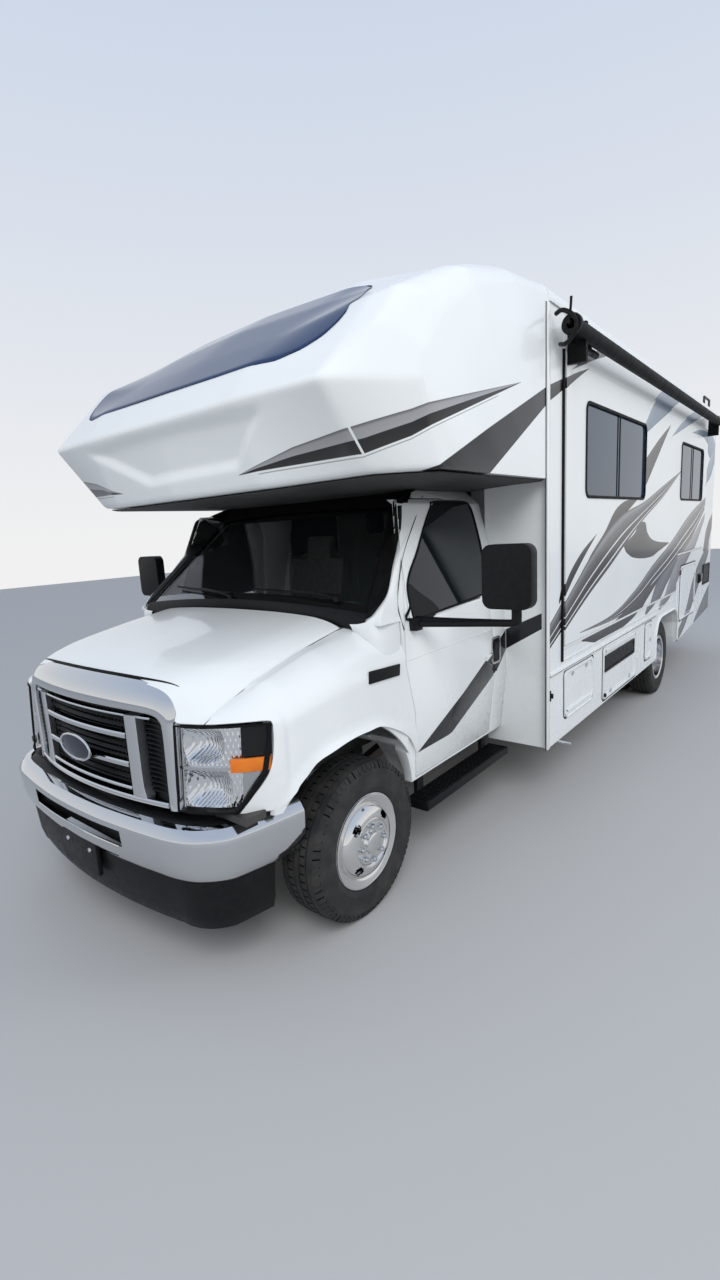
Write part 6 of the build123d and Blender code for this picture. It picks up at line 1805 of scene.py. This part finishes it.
motor_box = joined(Shape().box(1.289, 1.345, st(1.74), st(1.92), 2.742, 2.79),
                   Shape().bar([at(1.32, 1.9, 2.765), at(1.32, 2.07, 2.765)], 0.022, 10),
                   Shape().box(1.289, 1.33, st(1.72), st(1.86), 2.68, 2.742))
topper_arm = Shape().bar([at(1.31, 1.66, 2.77), at(1.35, 1.6, 2.78), at(1.382, 1.5, 2.796)], 0.01, 8)
place("topper_box", joined(motor_box, topper_arm), plastic, "slide_out", bevel=0.004)

# %% [markdown]
# The cab doors have a pull handle in a bezel with a black recess, a lock, and a faint crease that runs on
# from the wing. The side mirrors' glass faces backwards. The plaque on the wing is left blank.

# %% Cab door handles, mirror glass, creases and plaques
CAB_SIDE = 1.0
MIRROR_GLASS = rounded_box(1.33, 1.532, 1.412, 1.66, 0.03)


def cab_ring(s0, s1, z0, z1, rim, x0, x1, radius=0.03):
    """An upright frame with round corners, from one distance off the middle to another."""
    outer = rounded_box(st(s0), st(s1), z0, z1, radius)
    inner = rounded_box(st(s0) + rim, st(s1) - rim, z0 + rim, z1 - rim, max(radius - rim, 0.004))
    return Shape().ring(outer, inner, "X", x0, x1)


for word, side in SIDES:
    bezel = cab_ring(1.228, 1.346, 0.944, 1.11, 0.013, CAB_SIDE - 0.003, CAB_SIDE + 0.006)
    place_on_door("cab_handle_bezel", word, side, bezel, satin, bevel=0.002)
    recess = Shape().box(CAB_SIDE - 0.003, CAB_SIDE + 0.002, st(1.236), st(1.338), 0.952, 1.102)
    grip = Shape().box(CAB_SIDE + 0.001, CAB_SIDE + 0.012, st(1.246), st(1.322), 1.035, 1.085)
    lock = Shape().lathe([(0, 0), (0, 0.009), (0.004, 0.009), (0.004, 0)], at(CAB_SIDE, 1.29, 0.905), "X", 16)
    place_on_door("cab_handle", word, side, joined(recess, grip, lock), plastic, bevel=0.0015)
    glass = Shape().skin([[at(x, s, z) for x, z in MIRROR_GLASS] for s in (0.586, 0.5895)])
    place_on_door("mirror_glass", word, side, glass, mirror_face)
crease = [on_wing(at(1.4, s, z), at(0.8, s, z), at(1.0, s, z), -0.0015)
          for s, z in ((-0.3, 1.11), (-0.1, 1.128), (0.1, 1.142), (0.325, 1.15))]
place("wing_crease", Shape().bar(smooth_line(crease, 5), 0.004, 6).mirrored(), van_white)
for word, side in SIDES:
    crease = [on_door(s, z, -0.0012) for s, z in ((0.345, 1.151), (0.8, 1.156), (1.225, 1.16))]
    place_on_door("door_crease", word, side, Shape().bar(crease, 0.004, 6), van_white)
PLAQUE = [(0.045, 1.105), (0.27, 1.097), (0.277, 1.151), (0.052, 1.161)]
plaque = Shape().skin([[at(between([(-0.15, 0.9945), (0.331, 1.0045)], s) + lift, s, z) for s, z in PLAQUE]
                       for lift in (-0.003, 0.006)])
place("wing_plaques", plaque.mirrored(), plastic, bevel=0.002)

# %% [markdown]
# Hidden sides are finished from the type: red marker lamps, a high brake lamp and a camera at the back, a
# handle, a hinge line and a grab rail at the entry door, and dark slots in the shroud on the roof.

# %% Rear, roof and right side
REAR_Y = st(6.93)


def rear_bar(x0, x1, z0, z1, out):
    """A flat bar on the rear wall, standing out from it."""
    return Shape().box(x0, x1, REAR_Y - 0.002, REAR_Y + out, z0, z1)


rear_lamps = [rear_bar(x - 0.03, x + 0.03, 2.855, 2.88, 0.018) for x in (-1.0, -0.13, 0.0, 0.13, 1.0)]
rear_lamps.append(rear_bar(-0.16, 0.16, 2.795, 2.825, 0.016))
place("rear_marker_lamps", joined(*rear_lamps), red_lens, bevel=0.004)
camera_box = joined(rear_bar(-0.06, 0.06, 2.7, 2.765, 0.045), rear_bar(-0.13, 0.13, 0.965, 1.115, 0.006))
place("rear_camera_and_plate", camera_box, plastic, bevel=0.006)
rear_trim = joined(rear_bar(-1.262, -1.235, 0.57, 2.9, 0.007), rear_bar(1.235, 1.262, 0.57, 2.9, 0.007),
                   rear_bar(-1.235, 1.235, 0.8, 0.815, 0.006))
place("rear_mouldings", rear_trim, coach_white, bevel=0.002)
handle = joined(cab_ring(3.345, 3.415, 1.3, 1.48, 0.012, COACH_HALF, COACH_HALF + 0.01, 0.02),
                Shape().box(COACH_HALF, COACH_HALF + 0.016, st(3.362), st(3.398), 1.35, 1.43))
place("entry_handle", sided(handle, -1), plastic, "entry_door", bevel=0.002)
grab = Shape().bar(smooth_path([(x, 3.56, z) for x, z in (
    (1.272, 1.1), (1.325, 1.12), (1.33, 1.35), (1.33, 1.6), (1.325, 1.83), (1.272, 1.85))], 5), 0.013, 10)
place("entry_grab_rail", sided(grab, -1), chrome)
slot_cut = Shape().box(-0.3, 0.3, 0, 0.012, -0.004, 0.004)
shroud_slots = repeated(slot_cut, 7, (0, st(4.347), 3.12), (0, 0, 0.024))
place("roof_unit_slots", shroud_slots, seal_black)
hinge_line = Shape().box(COACH_HALF, COACH_HALF + 0.006, st(2.752), st(2.762), 0.66, 2.5)
place("entry_hinge", sided(hinge_line, -1), steel, "entry_door", slot="cast_metal")

# %% [markdown]
# The studio is a pale floor and an even white sky. Large soft lamps stand where the sun was, high on the
# left, so that the cap shades the cab as it does in daylight.

# %% Floor, sky and lamps
FLOOR_HALF = 30.0
LAMPS = (("key", (7.0, -9.0, 9.0), (0, -2.5, 1.0), 6.0, 700.0),
         ("side", (9.0, 3.0, 6.0), (0, 1.0, 1.5), 5.0, 190.0))


def studio():
    ground = bpy.data.meshes.new("floor")
    h = FLOOR_HALF
    ground.from_pydata([(-h, -h, 0), (h, -h, 0), (h, h, 0), (-h, h, 0)], [], [(0, 1, 2, 3)])
    floor = bpy.data.objects.new("floor", ground)
    bpy.context.scene.collection.objects.link(floor)
    stone = Finish("pale_floor", (0.47, 0.465, 0.455), 0.8)
    ground.materials.append(stone.material)
    sky = bpy.data.worlds.new("studio_sky")
    sky.use_nodes = True
    add, link = sky.node_tree.nodes.new, sky.node_tree.links.new
    height = add("ShaderNodeSeparateXYZ")
    link(add("ShaderNodeTexCoord").outputs["Generated"], height.inputs[0])
    shades = add("ShaderNodeValToRGB")
    shades.color_ramp.elements[0].color = (1.0, 1.0, 1.0, 1.0)
    shades.color_ramp.elements[1].color = (0.62, 0.72, 0.9, 1.0)
    shades.color_ramp.elements[1].position = 0.75
    link(height.outputs["Z"], shades.inputs[0])
    link(shades.outputs[0], sky.node_tree.nodes["Background"].inputs[0])
    sky.node_tree.nodes["Background"].inputs[1].default_value = 0.88
    bpy.context.scene.world = sky
    for name, spot, aim, size, power in LAMPS:
        lamp = bpy.data.lights.new(name, "AREA")
        lamp.size, lamp.energy = size, power
        holder = bpy.data.objects.new(name, lamp)
        bpy.context.scene.collection.objects.link(holder)
        holder.location = spot
        holder.visible_glossy = False
        holder.rotation_euler = (Vector(aim) - Vector(spot)).to_track_quat("-Z", "Y").to_euler()


studio()
bpy.context.scene.view_settings.view_transform = "Standard"
